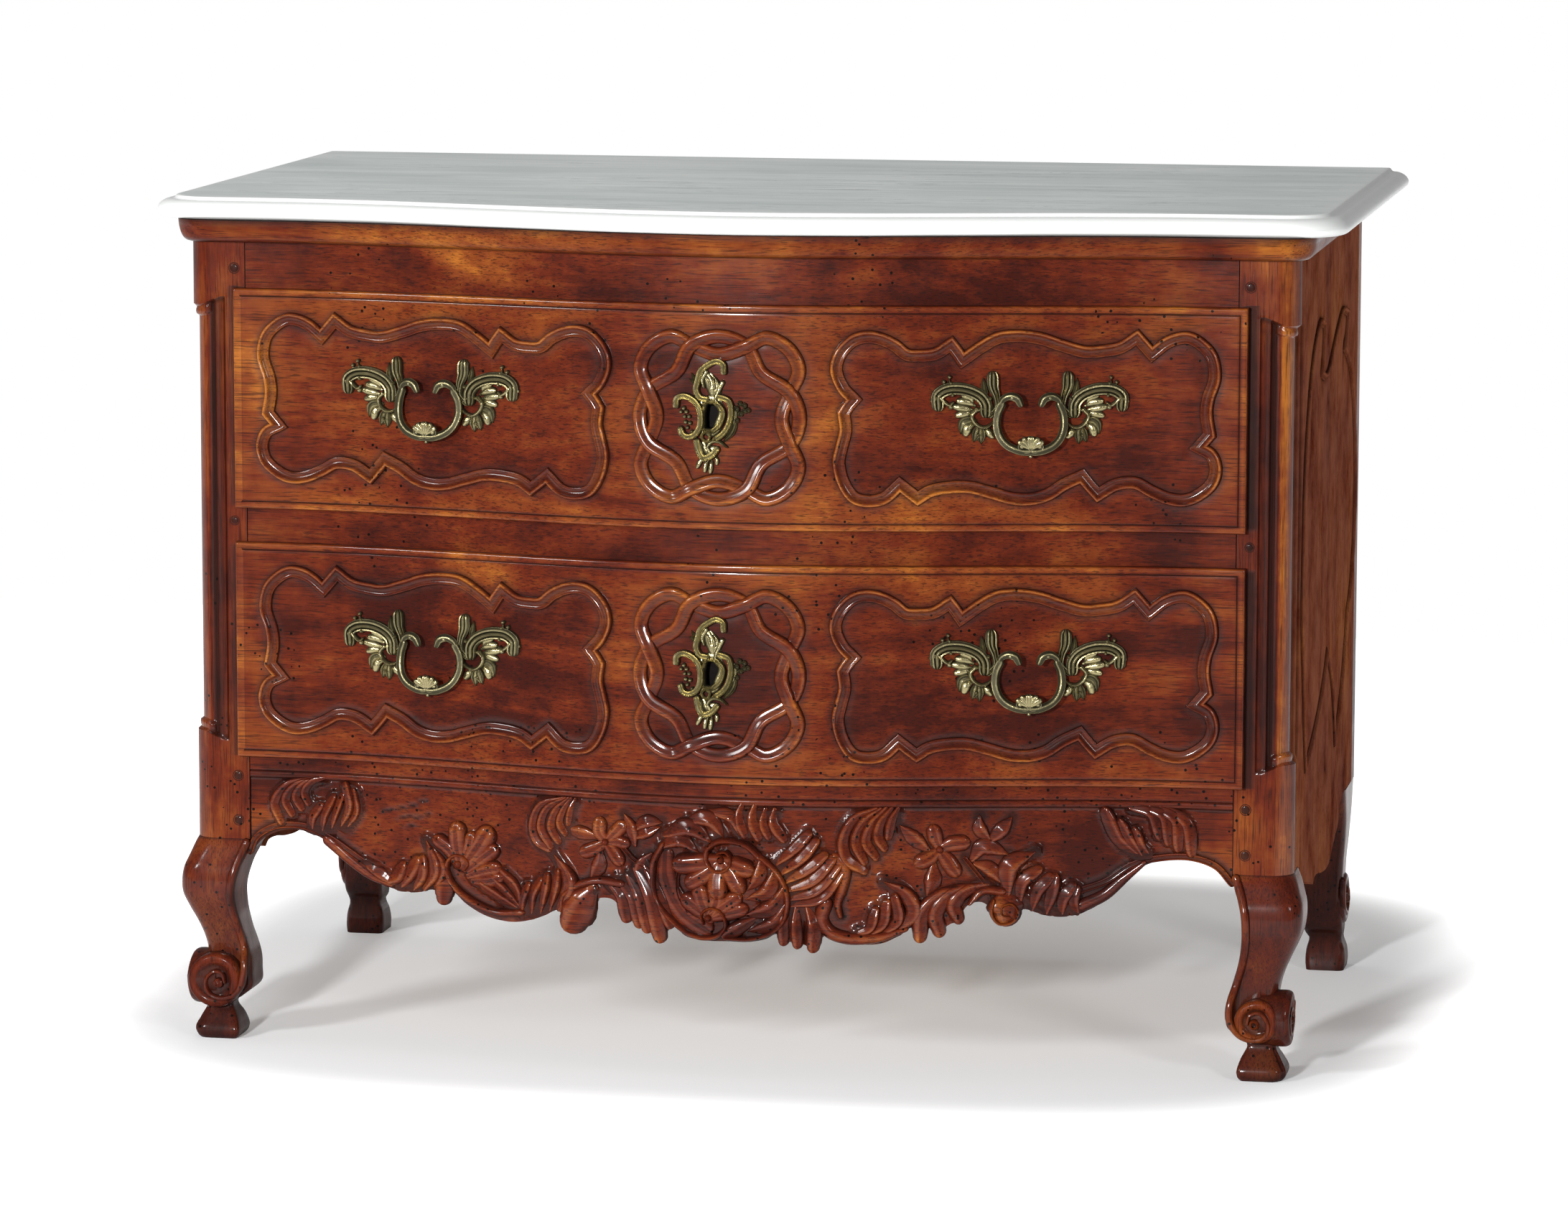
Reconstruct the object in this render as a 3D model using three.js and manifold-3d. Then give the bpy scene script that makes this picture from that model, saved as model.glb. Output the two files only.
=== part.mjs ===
// A walnut commode with a marble top, two bowed drawers and four cabriole legs.
// Sizes are in millimetres. X runs to the right, Y to the back and Z up.
// While the pieces are made, y = 0 is the front plane of the corner stiles, x = 0 the middle and z = 0
// the floor. The last lines move the whole piece so that its origin is under the middle of its box.
import * as THREE from "three";
import { mergeVertices } from "three/addons/utils/BufferGeometryUtils.js";
import Module from "manifold-3d";

const wasm = await Module();
wasm.setup();

// Carcass sizes
const carcassWidth = 1224;
const carcassDepth = 655;
const frontBow = 76;
const flatBesideStile = 18;
const legHeight = 228;
const apronShow = 94;
const lowerFrontHeight = 240;
const middleRailShow = 37;
const upperFrontHeight = 243;
const topRailShow = 49;

// Cornice and marble sizes
const corniceHeight = 25;
const corniceDepth = 24;
const corniceReach = 16;
const corniceFillet = 3;
const marbleThickness = 24;
const marbleSideReach = 48;
const marbleFrontReach = 14;
const marbleBackReach = 60;
const marbleBow = 84;
const marbleCornerRadius = 70;
const marbleEdge = 24;

// Stile, leg and board sizes
const stileWidth = 64;
const stileDepth = 64;
const cornerRadius = 24;
const stileSideShow = 24;
const rearStileSideShow = 30;
const rearLegDepth = 100;
const fluteWidth = 11;
const fluteDepth = 7;
const fluteFromCorner = 26;
const fluteFromTop = 69;
const fluteFromLeg = 120;
const scrollRadius = 31;
const scrollRise = 67;
const scrollInset = 27;
const scrollProud = 4;
const rearScrollRise = 86;
const sideBoardThickness = 22;
const sideApronDrop = 62;
const railDepth = 34;
const apronThickness = 26;
const apronDrop = 178;
const backRailThickness = 22;
const backRailHeight = 50;
const backBoardThickness = 12;
const backBoardCount = 3;
const topBoardThickness = 10;
const runnerWidth = 48;
const runnerHeight = 25;
const guideHeight = 35;
const dustBoardThickness = 8;

// Drawer sizes
const lipOverlap = 10;
const lipSideOverlap = 11;
const lipProud = 12;
const tongueThickness = 14;
const tongueClearance = 1.5;
const drawerSideClearance = 3;
const drawerSideThickness = 12;
const drawerSideHeight = 214;
const drawerBackGap = 21;
const drawerBackDrop = 12;
const drawerBottomThickness = 8;
const drawerBottomRise = 6;

// Lock sizes
const lockWidth = 84;
const lockHeight = 150;
const lockDepth = 16;
const boltWidth = 24;
const boltDepth = 8;
const boltLength = 46;
const boltThrow = 10;
const boltClearance = 0.5;
const mortiseClearance = 2;
const keyholeWidth = 8;
const keyholeHeight = 22;

// Handle and escutcheon sizes
const handleFromStile = 219;
const handleHalf = 105;
const handleRise = 50;
const plateThickness = 5;
const bailHalf = 38;
const bailDrop = 40;
const bailRise = 24;
const bailReach = 17;
const bailRadius = 3.6;
const studSpan = 128;
const studRise = 10;
const studRadius = 2.6;
const studClearance = 0.6;
const nutRadius = 7;
const nutThickness = 5;
const escutcheonWidth = 81;
const escutcheonHeight = 124;
const escutcheonThickness = 6;

// The gap between two pieces that touch, the overrun of a cut and the depth by which joined forms overlap
const seam = 0.3;
const overrun = 5;
const bond = 4;

// Counts of the straight stretches that stand for a curve
const bowStretches = 22;
const cornerStretches = 5;
const bailStretches = 26;
const roundSides = 18;
const smallSides = 8;
const nutSides = 6;

// Levels and half widths that follow from the sizes
const lowerFrontBottom = legHeight + apronShow;
const lowerFrontTop = lowerFrontBottom + lowerFrontHeight;
const upperFrontBottom = lowerFrontTop + middleRailShow;
const upperFrontTop = upperFrontBottom + upperFrontHeight;
const carcassTop = upperFrontTop + topRailShow;
const marbleBottom = carcassTop + corniceHeight;
const halfWidth = carcassWidth / 2;
const halfOpening = halfWidth - stileWidth;
const bowHalfRun = halfOpening - flatBesideStile;
const handleFromMiddle = halfOpening - handleFromStile;
const boardInside = halfWidth - sideBoardThickness;
const backBoardFront = carcassDepth - backBoardThickness;
const backRailFront = backBoardFront - backRailThickness;
const rearStileFront = carcassDepth - stileDepth;
const drawerReach = backRailFront - drawerBackGap;

// Finishes
const finish = (color, roughness, metalness) =>
  new THREE.MeshStandardMaterial({ color, roughness, metalness });
const walnut = finish(0x6b2e14, 0.38, 0);
const plainWood = finish(0xa9794a, 0.75, 0);
const brass = finish(0x8f7a3c, 0.35, 1);
const iron = finish(0x3a3633, 0.6, 1);
const marble = finish(0xd9dcd8, 0.22, 0);

const commode = new THREE.Group();

// Both sides: the sign of x and the word in the names
const bothSides = [[1, "right"], [-1, "left"]];

// Solids: turning geometry into solids, joining and cutting them, and turning them back
function solid(geometry) {
  const bare = geometry.clone();
  bare.deleteAttribute("normal");
  bare.deleteAttribute("uv");
  const merged = mergeVertices(bare, 1e-3);
  const triVerts = new Uint32Array(merged.index.array);
  const vertProperties = merged.attributes.position.array;
  return new wasm.Manifold(new wasm.Mesh({ numProp: 3, vertProperties, triVerts }));
}

function surface(manifold) {
  const mesh = manifold.getMesh();
  const geometry = new THREE.BufferGeometry();
  geometry.setAttribute("position", new THREE.BufferAttribute(mesh.vertProperties, 3));
  geometry.setIndex(new THREE.BufferAttribute(mesh.triVerts, 1));
  geometry.computeVertexNormals();
  return geometry;
}

function join(...geometries) {
  return surface(geometries.map(solid).reduce((sum, next) => sum.add(next)));
}

function cut(geometry, ...cutters) {
  return surface(cutters.map(solid).reduce((left, next) => left.subtract(next), solid(geometry)));
}

function common(first, second) {
  return surface(solid(first).intersect(solid(second)));
}

function piece(name, geometry, material, parent = commode) {
  const mesh = new THREE.Mesh(geometry, material);
  mesh.name = name;
  parent.add(mesh);
  return mesh;
}

// Prisms: an outline of points and the two levels between which it runs
const shapeOf = (points, holes = []) => {
  const shape = new THREE.Shape(points.map(([a, b]) => new THREE.Vector2(a, b)));
  shape.holes = holes.map((hole) => new THREE.Path(hole.map(([a, b]) => new THREE.Vector2(a, b))));
  return shape;
};

const extruded = (points, holes, depth) =>
  new THREE.ExtrudeGeometry(shapeOf(points, holes), { depth, bevelEnabled: false });

// An outline in x and y, from the level bottom up to the level top
function upright(points, bottom, top) {
  return extruded(points, [], top - bottom).translate(0, 0, bottom);
}

// An outline in x and z, from the plane front to the plane back
function facing(points, front, back, holes = []) {
  const turned = new THREE.Matrix4().makeBasis(
    new THREE.Vector3(1, 0, 0),
    new THREE.Vector3(0, 0, 1),
    new THREE.Vector3(0, -1, 0),
  );
  return extruded(points, holes, back - front).applyMatrix4(turned).translate(0, back, 0);
}

// An outline in y and z, between two distances from the middle, on the side given by 1 or -1
function sideways(points, side, near, far) {
  const turned = new THREE.Matrix4().makeBasis(
    new THREE.Vector3(0, 1, 0),
    new THREE.Vector3(0, 0, 1),
    new THREE.Vector3(1, 0, 0),
  );
  const start = side > 0 ? near : -far;
  return extruded(points, [], far - near).applyMatrix4(turned).translate(start, 0, 0);
}

function block(x0, x1, y0, y1, z0, z1) {
  const low = Math.min(x0, x1);
  const high = Math.max(x0, x1);
  return upright([[low, y0], [high, y0], [high, y1], [low, y1]], z0, z1);
}

function roundBar(radius, length, sides = roundSides) {
  return new THREE.CylinderGeometry(radius, radius, length, sides);
}

// Points of an arc, with its ends
function arc(x, y, radius, fromTurn, toTurn, stretches = cornerStretches) {
  return Array.from({ length: stretches + 1 }, (_, i) => {
    const turn = (fromTurn + ((toTurn - fromTurn) * i) / stretches) * 2 * Math.PI;
    return [x + radius * Math.cos(turn), y + radius * Math.sin(turn)];
  });
}

// The bowed front: how far the line stands in front of the stiles at a distance x from the middle
function bowAt(x, bow = frontBow, halfRun = bowHalfRun) {
  const share = Math.min(Math.abs(x), halfRun) / halfRun;
  return (bow / 2) * (1 + Math.cos(Math.PI * share));
}

function bowSlopeAt(x) {
  const share = Math.min(Math.abs(x), bowHalfRun) / bowHalfRun;
  return Math.sign(x) * ((frontBow * Math.PI) / 2 / bowHalfRun) * Math.sin(Math.PI * share);
}

// Points along the bowed front from left to right, moved forward by proud
function bowLine(half, proud, bow = frontBow, halfRun = bowHalfRun) {
  return Array.from({ length: bowStretches + 1 }, (_, i) => {
    const x = half * ((2 * i) / bowStretches - 1);
    return [x, -bowAt(x, bow, halfRun) - proud];
  });
}

// A bowed board between two offsets from the bowed front
function bowedBoard(half, proud, behind, bottom, top) {
  const points = [...bowLine(half, proud), ...bowLine(half, -behind).reverse()];
  return upright(points, bottom, top);
}

// A closed skin over rings of points, each ring given as a level and a list of x and y
function stacked(rings) {
  const count = rings[0].points.length;
  const positions = rings.flatMap((ring) => ring.points.flatMap(([x, y]) => [x, y, ring.level]));
  const outline = rings[0].points.map(([x, y]) => new THREE.Vector2(x, y));
  const cap = THREE.ShapeUtils.triangulateShape(outline, []);
  const last = (rings.length - 1) * count;
  const faces = cap.flatMap(([a, b, c]) => [a, c, b, last + a, last + b, last + c]);
  for (let ring = 0; ring < rings.length - 1; ring += 1) {
    for (let i = 0; i < count; i += 1) {
      const a = ring * count + i;
      const b = ring * count + ((i + 1) % count);
      faces.push(a, b, b + count, a, b + count, a + count);
    }
  }
  const geometry = new THREE.BufferGeometry();
  geometry.setAttribute("position", new THREE.Float32BufferAttribute(positions, 3));
  geometry.setIndex(faces);
  geometry.computeVertexNormals();
  return geometry;
}

// Marble slab: rings of the same outline, drawn in at the edge by a share of its width
const marbleEdgeShares = [
  [0, 0.4], [0.12, 0.12], [0.34, 0], [0.6, 0.12], [0.8, 0.42], [0.84, 0.8], [1, 0.92],
];

function marbleRing(inset) {
  const half = halfWidth + marbleSideReach - inset;
  const radius = marbleCornerRadius - inset;
  const proud = marbleFrontReach - inset;
  const back = carcassDepth + marbleBackReach;
  return [
    ...bowLine(half - radius, proud, marbleBow),
    ...arc(half - radius, radius - proud, radius, -0.25, 0).slice(1),
    [half, back],
    [-half, back],
    ...arc(radius - half, radius - proud, radius, 0.5, 0.75).slice(0, -1),
  ];
}

function marbleTop() {
  const rings = marbleEdgeShares.map(([rise, inset]) => ({
    level: marbleBottom + seam + rise * (marbleThickness - seam),
    points: marbleRing(inset * marbleEdge),
  }));
  piece("marble_top", stacked(rings), marble);
}

// Cornice: a quarter round under the marble, across the front and back along both sides
const quarterRoundShares = [0, 0.08, 0.3, 0.62, 1];

const corniceProud = (share) =>
  corniceFillet + (corniceReach - corniceFillet) * Math.sqrt(1 - (1 - share) * (1 - share));

function corniceFront() {
  const rings = quarterRoundShares.map((share) => {
    const proud = corniceProud(share);
    const radius = cornerRadius + proud;
    const edge = halfWidth + proud;
    const centre = halfWidth - cornerRadius;
    const inner = halfWidth - corniceDepth;
    return {
      level: carcassTop + seam + share * (corniceHeight - seam),
      points: [
        ...bowLine(centre, proud),
        ...arc(centre, cornerRadius, radius, -0.25, 0).slice(1),
        [edge, stileDepth],
        [inner, stileDepth],
        ...bowLine(inner, -corniceDepth).reverse(),
        [-inner, stileDepth],
        [-edge, stileDepth],
        ...arc(-centre, cornerRadius, radius, 0.5, 0.75).slice(0, -1),
      ],
    };
  });
  piece("cornice_front", stacked(rings), walnut);
}

function corniceSide(side, word) {
  const level = (share) => carcassTop + seam + share * (corniceHeight - seam);
  const inner = halfWidth - corniceDepth;
  const profile = [
    [side * inner, level(0)],
    ...quarterRoundShares.map((share) => [side * (halfWidth + corniceProud(share)), level(share)]),
    [side * inner, level(1)],
  ];
  piece(`cornice_${word}`, facing(profile, stileDepth + seam, carcassDepth), walnut);
}

// Corner stiles and legs
// The shares are of the leg's width, from its outer face inwards, and of its height
const legOuterShares = [
  [0, 1], [-0.05, 0.97], [-0.14, 0.9], [-0.2, 0.85], [-0.22, 0.79], [-0.2, 0.73], [-0.11, 0.66], [0.02, 0.58],
  [0.13, 0.5], [0.19, 0.43], [0.2, 0.3], [0.2, 0.22], [0.14, 0.18], [0.09, 0.1], [0.06, 0],
];
const legInnerShares = [
  [0.78, 0], [0.77, 0.09], [0.73, 0.165], [0.86, 0.21], [1.03, 0.26], [1.03, 0.32], [1.01, 0.38],
  [0.94, 0.46], [0.85, 0.55], [0.79, 0.65], [0.78, 0.75], [0.86, 0.86], [0.97, 0.94], [1, 1],
];
// The shares are of the rear leg's depth, from the carcass back forwards, and of its height
const rearBackShares = [
  [0, 1], [0.02, 0.8], [0.04, 0.62], [0, 0.5], [-0.1, 0.42], [-0.14, 0.34], [-0.1, 0.26],
  [-0.14, 0.18], [-0.21, 0.1], [-0.26, 0],
];
const rearFrontShares = [
  [0.25, 0], [0.22, 0.1], [0.24, 0.18], [0.36, 0.24], [0.44, 0.34], [0.46, 0.46], [0.52, 0.62],
  [0.66, 0.8], [0.86, 0.93], [1, 0.985], [1, 1],
];
// The shares are of the rear leg's width, from its outer face inwards, and of its height
const rearOuterShares = [
  [0, 1], [0.03, 0.86], [0.1, 0.7], [0.18, 0.58], [0.2, 0.5], [0.16, 0.3], [0.2, 0.2], [0.12, 0.1],
  [0.08, 0],
];
const rearInnerShares = [[0.8, 0], [0.76, 0.1], [0.72, 0.19], [0.8, 0.3], [0.84, 0.5], [0.93, 0.76], [1, 1]];

function frontStileSection(side) {
  const corner = arc(halfWidth - cornerRadius, cornerRadius, cornerRadius, -0.25, 0);
  const section = [
    [halfOpening, 0],
    ...corner,
    [halfWidth, stileSideShow],
    [boardInside, stileSideShow],
    [boardInside, stileDepth],
    [halfOpening, stileDepth],
  ];
  return section.map(([x, y]) => [side * x, y]);
}

function frontLeg(side) {
  const across = [...legOuterShares, ...legInnerShares].map(([inward, up]) => [
    side * (halfWidth - inward * stileWidth),
    up * legHeight,
  ]);
  const along = [...legOuterShares, ...legInnerShares].map(([inward, up]) => [
    inward * stileDepth,
    up * legHeight,
  ]);
  const reach = stileWidth;
  const shaped = common(
    facing(across, -reach, stileDepth + reach),
    sideways(along, side, halfOpening - reach, halfWidth + reach),
  );
  const frontScroll = roundBar(scrollRadius, stileDepth / 2).translate(
    side * (halfWidth - scrollInset),
    stileDepth / 4 - scrollProud,
    scrollRise,
  );
  const sideScroll = roundBar(scrollRadius, stileWidth / 2)
    .rotateZ(Math.PI / 2)
    .translate(side * (halfWidth - stileWidth / 4 + scrollProud), scrollInset, scrollRise);
  return [shaped, frontScroll, sideScroll];
}

function frontStile(side, word) {
  const shaft = upright(frontStileSection(side), legHeight - bond, carcassTop);
  const fluteFar = halfWidth - fluteFromCorner;
  const flute = block(
    side * (fluteFar - fluteWidth),
    side * fluteFar,
    -overrun,
    fluteDepth,
    legHeight + fluteFromLeg,
    carcassTop - fluteFromTop,
  );
  piece(`stile_front_${word}`, cut(join(shaft, ...frontLeg(side)), flute), walnut);
}

function rearStile(side, word) {
  const rebate = carcassDepth - rearStileSideShow;
  const section = [
    [side * halfOpening, rearStileFront],
    [side * boardInside, rearStileFront],
    [side * boardInside, rebate],
    [side * halfWidth, rebate],
    [side * halfWidth, carcassDepth],
    [side * (boardInside - seam), carcassDepth],
    [side * (boardInside - seam), backBoardFront],
    [side * halfOpening, backBoardFront],
  ];
  const across = [...rearOuterShares, ...rearInnerShares].map(([inward, up]) => [
    side * (halfWidth - inward * stileWidth),
    up * legHeight,
  ]);
  const along = [...rearBackShares, ...rearFrontShares].map(([forward, up]) => [
    carcassDepth - forward * rearLegDepth,
    up * legHeight,
  ]);
  const leg = common(
    facing(across, carcassDepth - 2 * rearLegDepth, carcassDepth + rearLegDepth),
    sideways(along, side, halfOpening - stileWidth, halfWidth + stileWidth),
  );
  const scroll = roundBar(scrollRadius, stileWidth / 2)
    .rotateZ(Math.PI / 2)
    .translate(side * (halfWidth - stileWidth / 4), carcassDepth - scrollInset / 2, rearScrollRise);
  const shaft = upright(section, legHeight - bond, carcassTop);
  piece(`stile_back_${word}`, join(shaft, leg, scroll), walnut);
}

// Rails and the shaped apron between the front stiles
// The shares are of half the opening's width, from the middle, and of the apron's drop below the drawer
const apronShares = [
  [-1, 0.567], [-0.92, 0.466], [-0.86, 0.483], [-0.79, 0.612], [-0.735, 0.742], [-0.67, 0.809],
  [-0.606, 0.77], [-0.584, 0.837], [-0.562, 0.792], [-0.505, 0.876], [-0.438, 0.899], [-0.38, 0.86],
  [-0.338, 0.809], [-0.308, 0.972], [-0.266, 0.848], [-0.252, 0.77], [-0.219, 0.77], [-0.197, 0.865],
  [-0.122, 0.978], [-0.1, 0.904], [-0.036, 0.961], [0.053, 0.961], [0.111, 0.938], [0.181, 1],
  [0.206, 0.933], [0.274, 0.983], [0.341, 0.927], [0.369, 0.876], [0.392, 0.949], [0.442, 0.893],
  [0.454, 0.837], [0.484, 0.742],
  [0.522, 0.73], [0.56, 0.87], [0.589, 0.787], [0.637, 0.809], [0.686, 0.809], [0.737, 0.747], [0.779, 0.624],
  [0.823, 0.489], [0.874, 0.455], [0.925, 0.478], [1, 0.567],
];

const openingBottom = (frontBottom) => frontBottom + lipOverlap;
const openingTop = (frontTop) => frontTop - lipOverlap;

// The slot in a rail that takes the bolt of the lock below it
function boltMortise(level) {
  const back = lockBack() + mortiseClearance;
  return block(
    -boltWidth / 2 - mortiseClearance,
    boltWidth / 2 + mortiseClearance,
    back - boltDepth - 2 * mortiseClearance,
    back,
    level - overrun,
    level + boltThrow + mortiseClearance,
  );
}

function rails() {
  const half = halfOpening - seam;
  const topRail = bowedBoard(half, 0, railDepth, openingTop(upperFrontTop), carcassTop);
  piece("top_rail", cut(topRail, boltMortise(openingTop(upperFrontTop))), walnut);
  const middle = bowedBoard(half, 0, railDepth, openingTop(lowerFrontTop), openingBottom(upperFrontBottom));
  piece("middle_rail", cut(middle, boltMortise(openingTop(lowerFrontTop))), walnut);
  const outline = [
    ...apronShares.map(([across, down]) => [across * half, lowerFrontBottom - down * apronDrop]),
    [half, openingBottom(lowerFrontBottom)],
    [-half, openingBottom(lowerFrontBottom)],
  ];
  const low = lowerFrontBottom - apronDrop - overrun;
  const slab = bowedBoard(half, 0, apronThickness, low, openingBottom(lowerFrontBottom) + overrun);
  const depths = [-frontBow - overrun, apronThickness + overrun];
  piece("apron_front", common(slab, facing(outline, ...depths)), walnut);
}

// Side boards, let into rebates in the stiles, with an arched lower edge
// The shares are of the board's length and of the apron's drop below the legs' tops
const sideApronShares = [
  [0, 0], [0.07, 0], [0.095, 0.22], [0.13, 0.52], [0.18, 0.78], [0.26, 0.93], [0.36, 1], [0.45, 1],
  [0.55, 0.96], [0.61, 0.92], [0.68, 0.72], [0.75, 0.35], [0.79, 0.1], [0.83, 0], [1, 0],
];

function sideBoard(side, word) {
  const front = stileSideShow + seam;
  const back = carcassDepth - rearStileSideShow - seam;
  const outline = [
    ...sideApronShares.map(([along, down]) => [
      front + along * (back - front),
      legHeight + seam - down * sideApronDrop,
    ]),
    [back, carcassTop],
    [front, carcassTop],
  ];
  piece(`side_board_${word}`, sideways(outline, side, boardInside + seam, halfWidth), walnut);
}

// Back boards nailed to two rails, and the board under the marble
function backAndTop() {
  const half = halfOpening - seam;
  const railBottom = { top: carcassTop - backRailHeight, bottom: legHeight };
  const railTop = { top: marbleBottom, bottom: legHeight + backRailHeight };
  for (const word of ["top", "bottom"]) {
    const rail = block(-half, half, backRailFront, backBoardFront - seam, railBottom[word], railTop[word]);
    piece(`back_rail_${word}`, rail, plainWood);
  }
  const backHalf = boardInside - 2 * seam;
  const width = (2 * backHalf - (backBoardCount - 1) * seam) / backBoardCount;
  for (let i = 0; i < backBoardCount; i += 1) {
    const left = -backHalf + i * (width + seam);
    const board = block(left, left + width, backBoardFront, carcassDepth, legHeight, carcassTop);
    piece(`back_board_${i + 1}`, board, plainWood);
  }
  const topHalf = halfWidth - corniceDepth - seam;
  const front = bowLine(topHalf, -corniceDepth - seam);
  const back = backRailFront - seam;
  const outline = [...front, [topHalf, back], [-topHalf, back]];
  const bottom = carcassTop + seam;
  piece("top_board", upright(outline, bottom, bottom + topBoardThickness), plainWood);
}

// A runner under each drawer end, a guide beside it and a thin dust board between the runners
function runners(drawerWord, frontBottom) {
  const top = openingBottom(frontBottom);
  const boardHalf = halfOpening - runnerWidth - 2 * seam;
  const boardBack = backRailFront - seam;
  const boardFront = bowLine(boardHalf, -railDepth - seam);
  const outline = [...boardFront, [boardHalf, boardBack], [-boardHalf, boardBack]];
  const boardTop = top - runnerHeight + dustBoardThickness;
  piece(`dust_board_${drawerWord}`, upright(outline, top - runnerHeight, boardTop), plainWood);
  for (const [side, word] of bothSides) {
    const outer = halfOpening - seam;
    const inner = outer - runnerWidth;
    const front = railDepth + seam;
    const back = backRailFront - seam;
    const runner = block(side * inner, side * outer, front, back, top - runnerHeight, top);
    piece(`runner_${drawerWord}_${word}`, runner, plainWood);
    const guide = block(
      side * halfOpening,
      side * boardInside,
      stileDepth + seam,
      rearStileFront - seam,
      top - runnerHeight,
      top + guideHeight,
    );
    piece(`guide_${drawerWord}_${word}`, guide, plainWood);
  }
}

// Drawers
const lockFront = () => -bowAt(lockWidth / 2) + tongueThickness + seam;
const lockBack = () => lockFront() + lockDepth;

function keyholePoints(width, height) {
  const radius = width / 2;
  const slot = radius / 2;
  const bow = arc(0, height / 2 - radius, radius, -0.15, 0.65, smallSides);
  return [...bow, [-slot, -height / 2], [slot, -height / 2]];
}

// The seat of a handle: where it sits on the bowed drawer face, and the face's turn there
function handleSeat(side, level) {
  const x = side * handleFromMiddle;
  return { x, y: -bowAt(x) - lipProud, z: level, turn: Math.atan(bowSlopeAt(x)) };
}

function seatGroup(seat, parent) {
  const group = new THREE.Group();
  group.position.set(seat.x, seat.y, seat.z);
  group.rotation.z = seat.turn;
  parent.add(group);
  return group;
}

// How deep a bowed surface lies behind the handle's own plane, at a place along it
function depthBehind(seat, along, behindFace) {
  const cos = Math.cos(seat.turn);
  const sin = Math.sin(seat.turn);
  let depth = behindFace;
  for (let tries = 0; tries < smallSides; tries += 1) {
    const x = seat.x + along * cos - depth * sin;
    const surfaceY = -bowAt(x) - lipProud + behindFace;
    depth = (surfaceY - seat.y - along * sin) / cos;
  }
  return depth;
}

function studHole(seat, end) {
  const frontThickness = lipProud + tongueThickness;
  const along = (end * studSpan) / 2;
  const hole = roundBar(studRadius + studClearance, 2 * frontThickness, smallSides);
  hole.translate(along, depthBehind(seat, along, frontThickness / 2), studRise);
  return hole.rotateZ(seat.turn).translate(seat.x, seat.y, seat.z);
}

// The pierced plate of a handle, as shares of the handle's half width and rise
const plateShares = [
  [0.36, -0.2], [0.38, 0.2], [0.36, 0.86], [0.42, 0.94], [0.48, 0.9], [0.51, 0.5], [0.62, 0.68],
  [0.78, 0.76], [0.8, 0.96], [0.87, 1], [0.92, 0.7], [1, 0.46], [0.96, 0.3], [0.86, 0.34], [0.79, 0.22],
  [0.84, -0.02], [0.8, -0.28], [0.72, -0.16], [0.62, -0.46], [0.54, -0.22], [0.44, -0.28],
];
const plateHoleShares = [[0.55, 0.02], [0.62, -0.08], [0.68, 0.04], [0.64, 0.16], [0.56, 0.14]];
const bailShares = [
  [-0.26, 0.72], [-0.42, 0.98], [-0.72, 0.9], [-0.96, 0.4], [-0.98, -0.14], [-0.8, -0.56], [-0.44, -0.9],
  [0, -1],
];
const bailReachShares = [0.8, 0.72, 0.6, 0.42, 0.4, 0.72, 0.94, 1];

function bailPath() {
  const half = bailShares.map(([across, up], i) => {
    const z = up > 0 ? up * bailRise : up * bailDrop;
    return new THREE.Vector3(across * bailHalf, -bailReachShares[i] * bailReach, z);
  });
  const mirrored = half.slice(0, -1).reverse().map((p) => new THREE.Vector3(-p.x, p.y, p.z));
  return new THREE.CatmullRomCurve3([...half, ...mirrored]);
}

const faceTestShares = [-1, -0.5, 0, 0.5, 1];

function handle(word, seat, parent) {
  const group = seatGroup(seat, parent);
  const faceDepths = faceTestShares.map((share) => depthBehind(seat, share * handleHalf, 0));
  const back = Math.min(...faceDepths) - 2 * seam;
  const plates = [1, -1].map((end) => {
    const place = ([across, up]) => [end * across * handleHalf, up * handleRise];
    const holes = [plateHoleShares.map(place)];
    return facing(plateShares.map(place), back - plateThickness, back, holes);
  });
  const section = shapeOf(arc(0, 0, bailRadius, 0, 1, smallSides).slice(0, -1));
  const tube = new THREE.ExtrudeGeometry(section, { steps: bailStretches, extrudePath: bailPath() });
  const bridges = [1, -1].map((end) =>
    block(
      end * (bailHalf - 2 * bailRadius),
      end * (bailHalf + 2 * bailRadius),
      back - plateThickness - bailRadius,
      back,
      -2 * bailRadius,
      bailRadius,
    ),
  );
  const studs = [1, -1].map((end) => {
    const along = (end * studSpan) / 2;
    const inside = depthBehind(seat, along, lipProud + tongueThickness) + 2 * nutThickness;
    const length = inside - back + plateThickness;
    return roundBar(studRadius, length, smallSides).translate(along, inside - length / 2, studRise);
  });
  piece(`handle_${word}`, join(...plates, ...bridges, ...studs, tube), brass, group);
  for (const [end, endWord] of bothSides) nut(`${word}_${endWord}`, seat, (end * studSpan) / 2, group);
}

// A nut on the end of a stud, clear of the bowed back of the drawer front
function nut(word, seat, along, group) {
  const edgeDepths = [-nutRadius, nutRadius].map((edge) =>
    depthBehind(seat, along + edge, lipProud + tongueThickness),
  );
  const ring = arc(0, 0, nutRadius, 0, 1, nutSides).slice(0, -1);
  const bore = arc(0, 0, studRadius + studClearance / 2, 0, 1, smallSides).slice(0, -1);
  const mesh = piece(`nut_${word}`, facing(ring, 0, nutThickness, [bore]), iron, group);
  mesh.position.set(along, Math.max(...edgeDepths) + seam, studRise);
}

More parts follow.
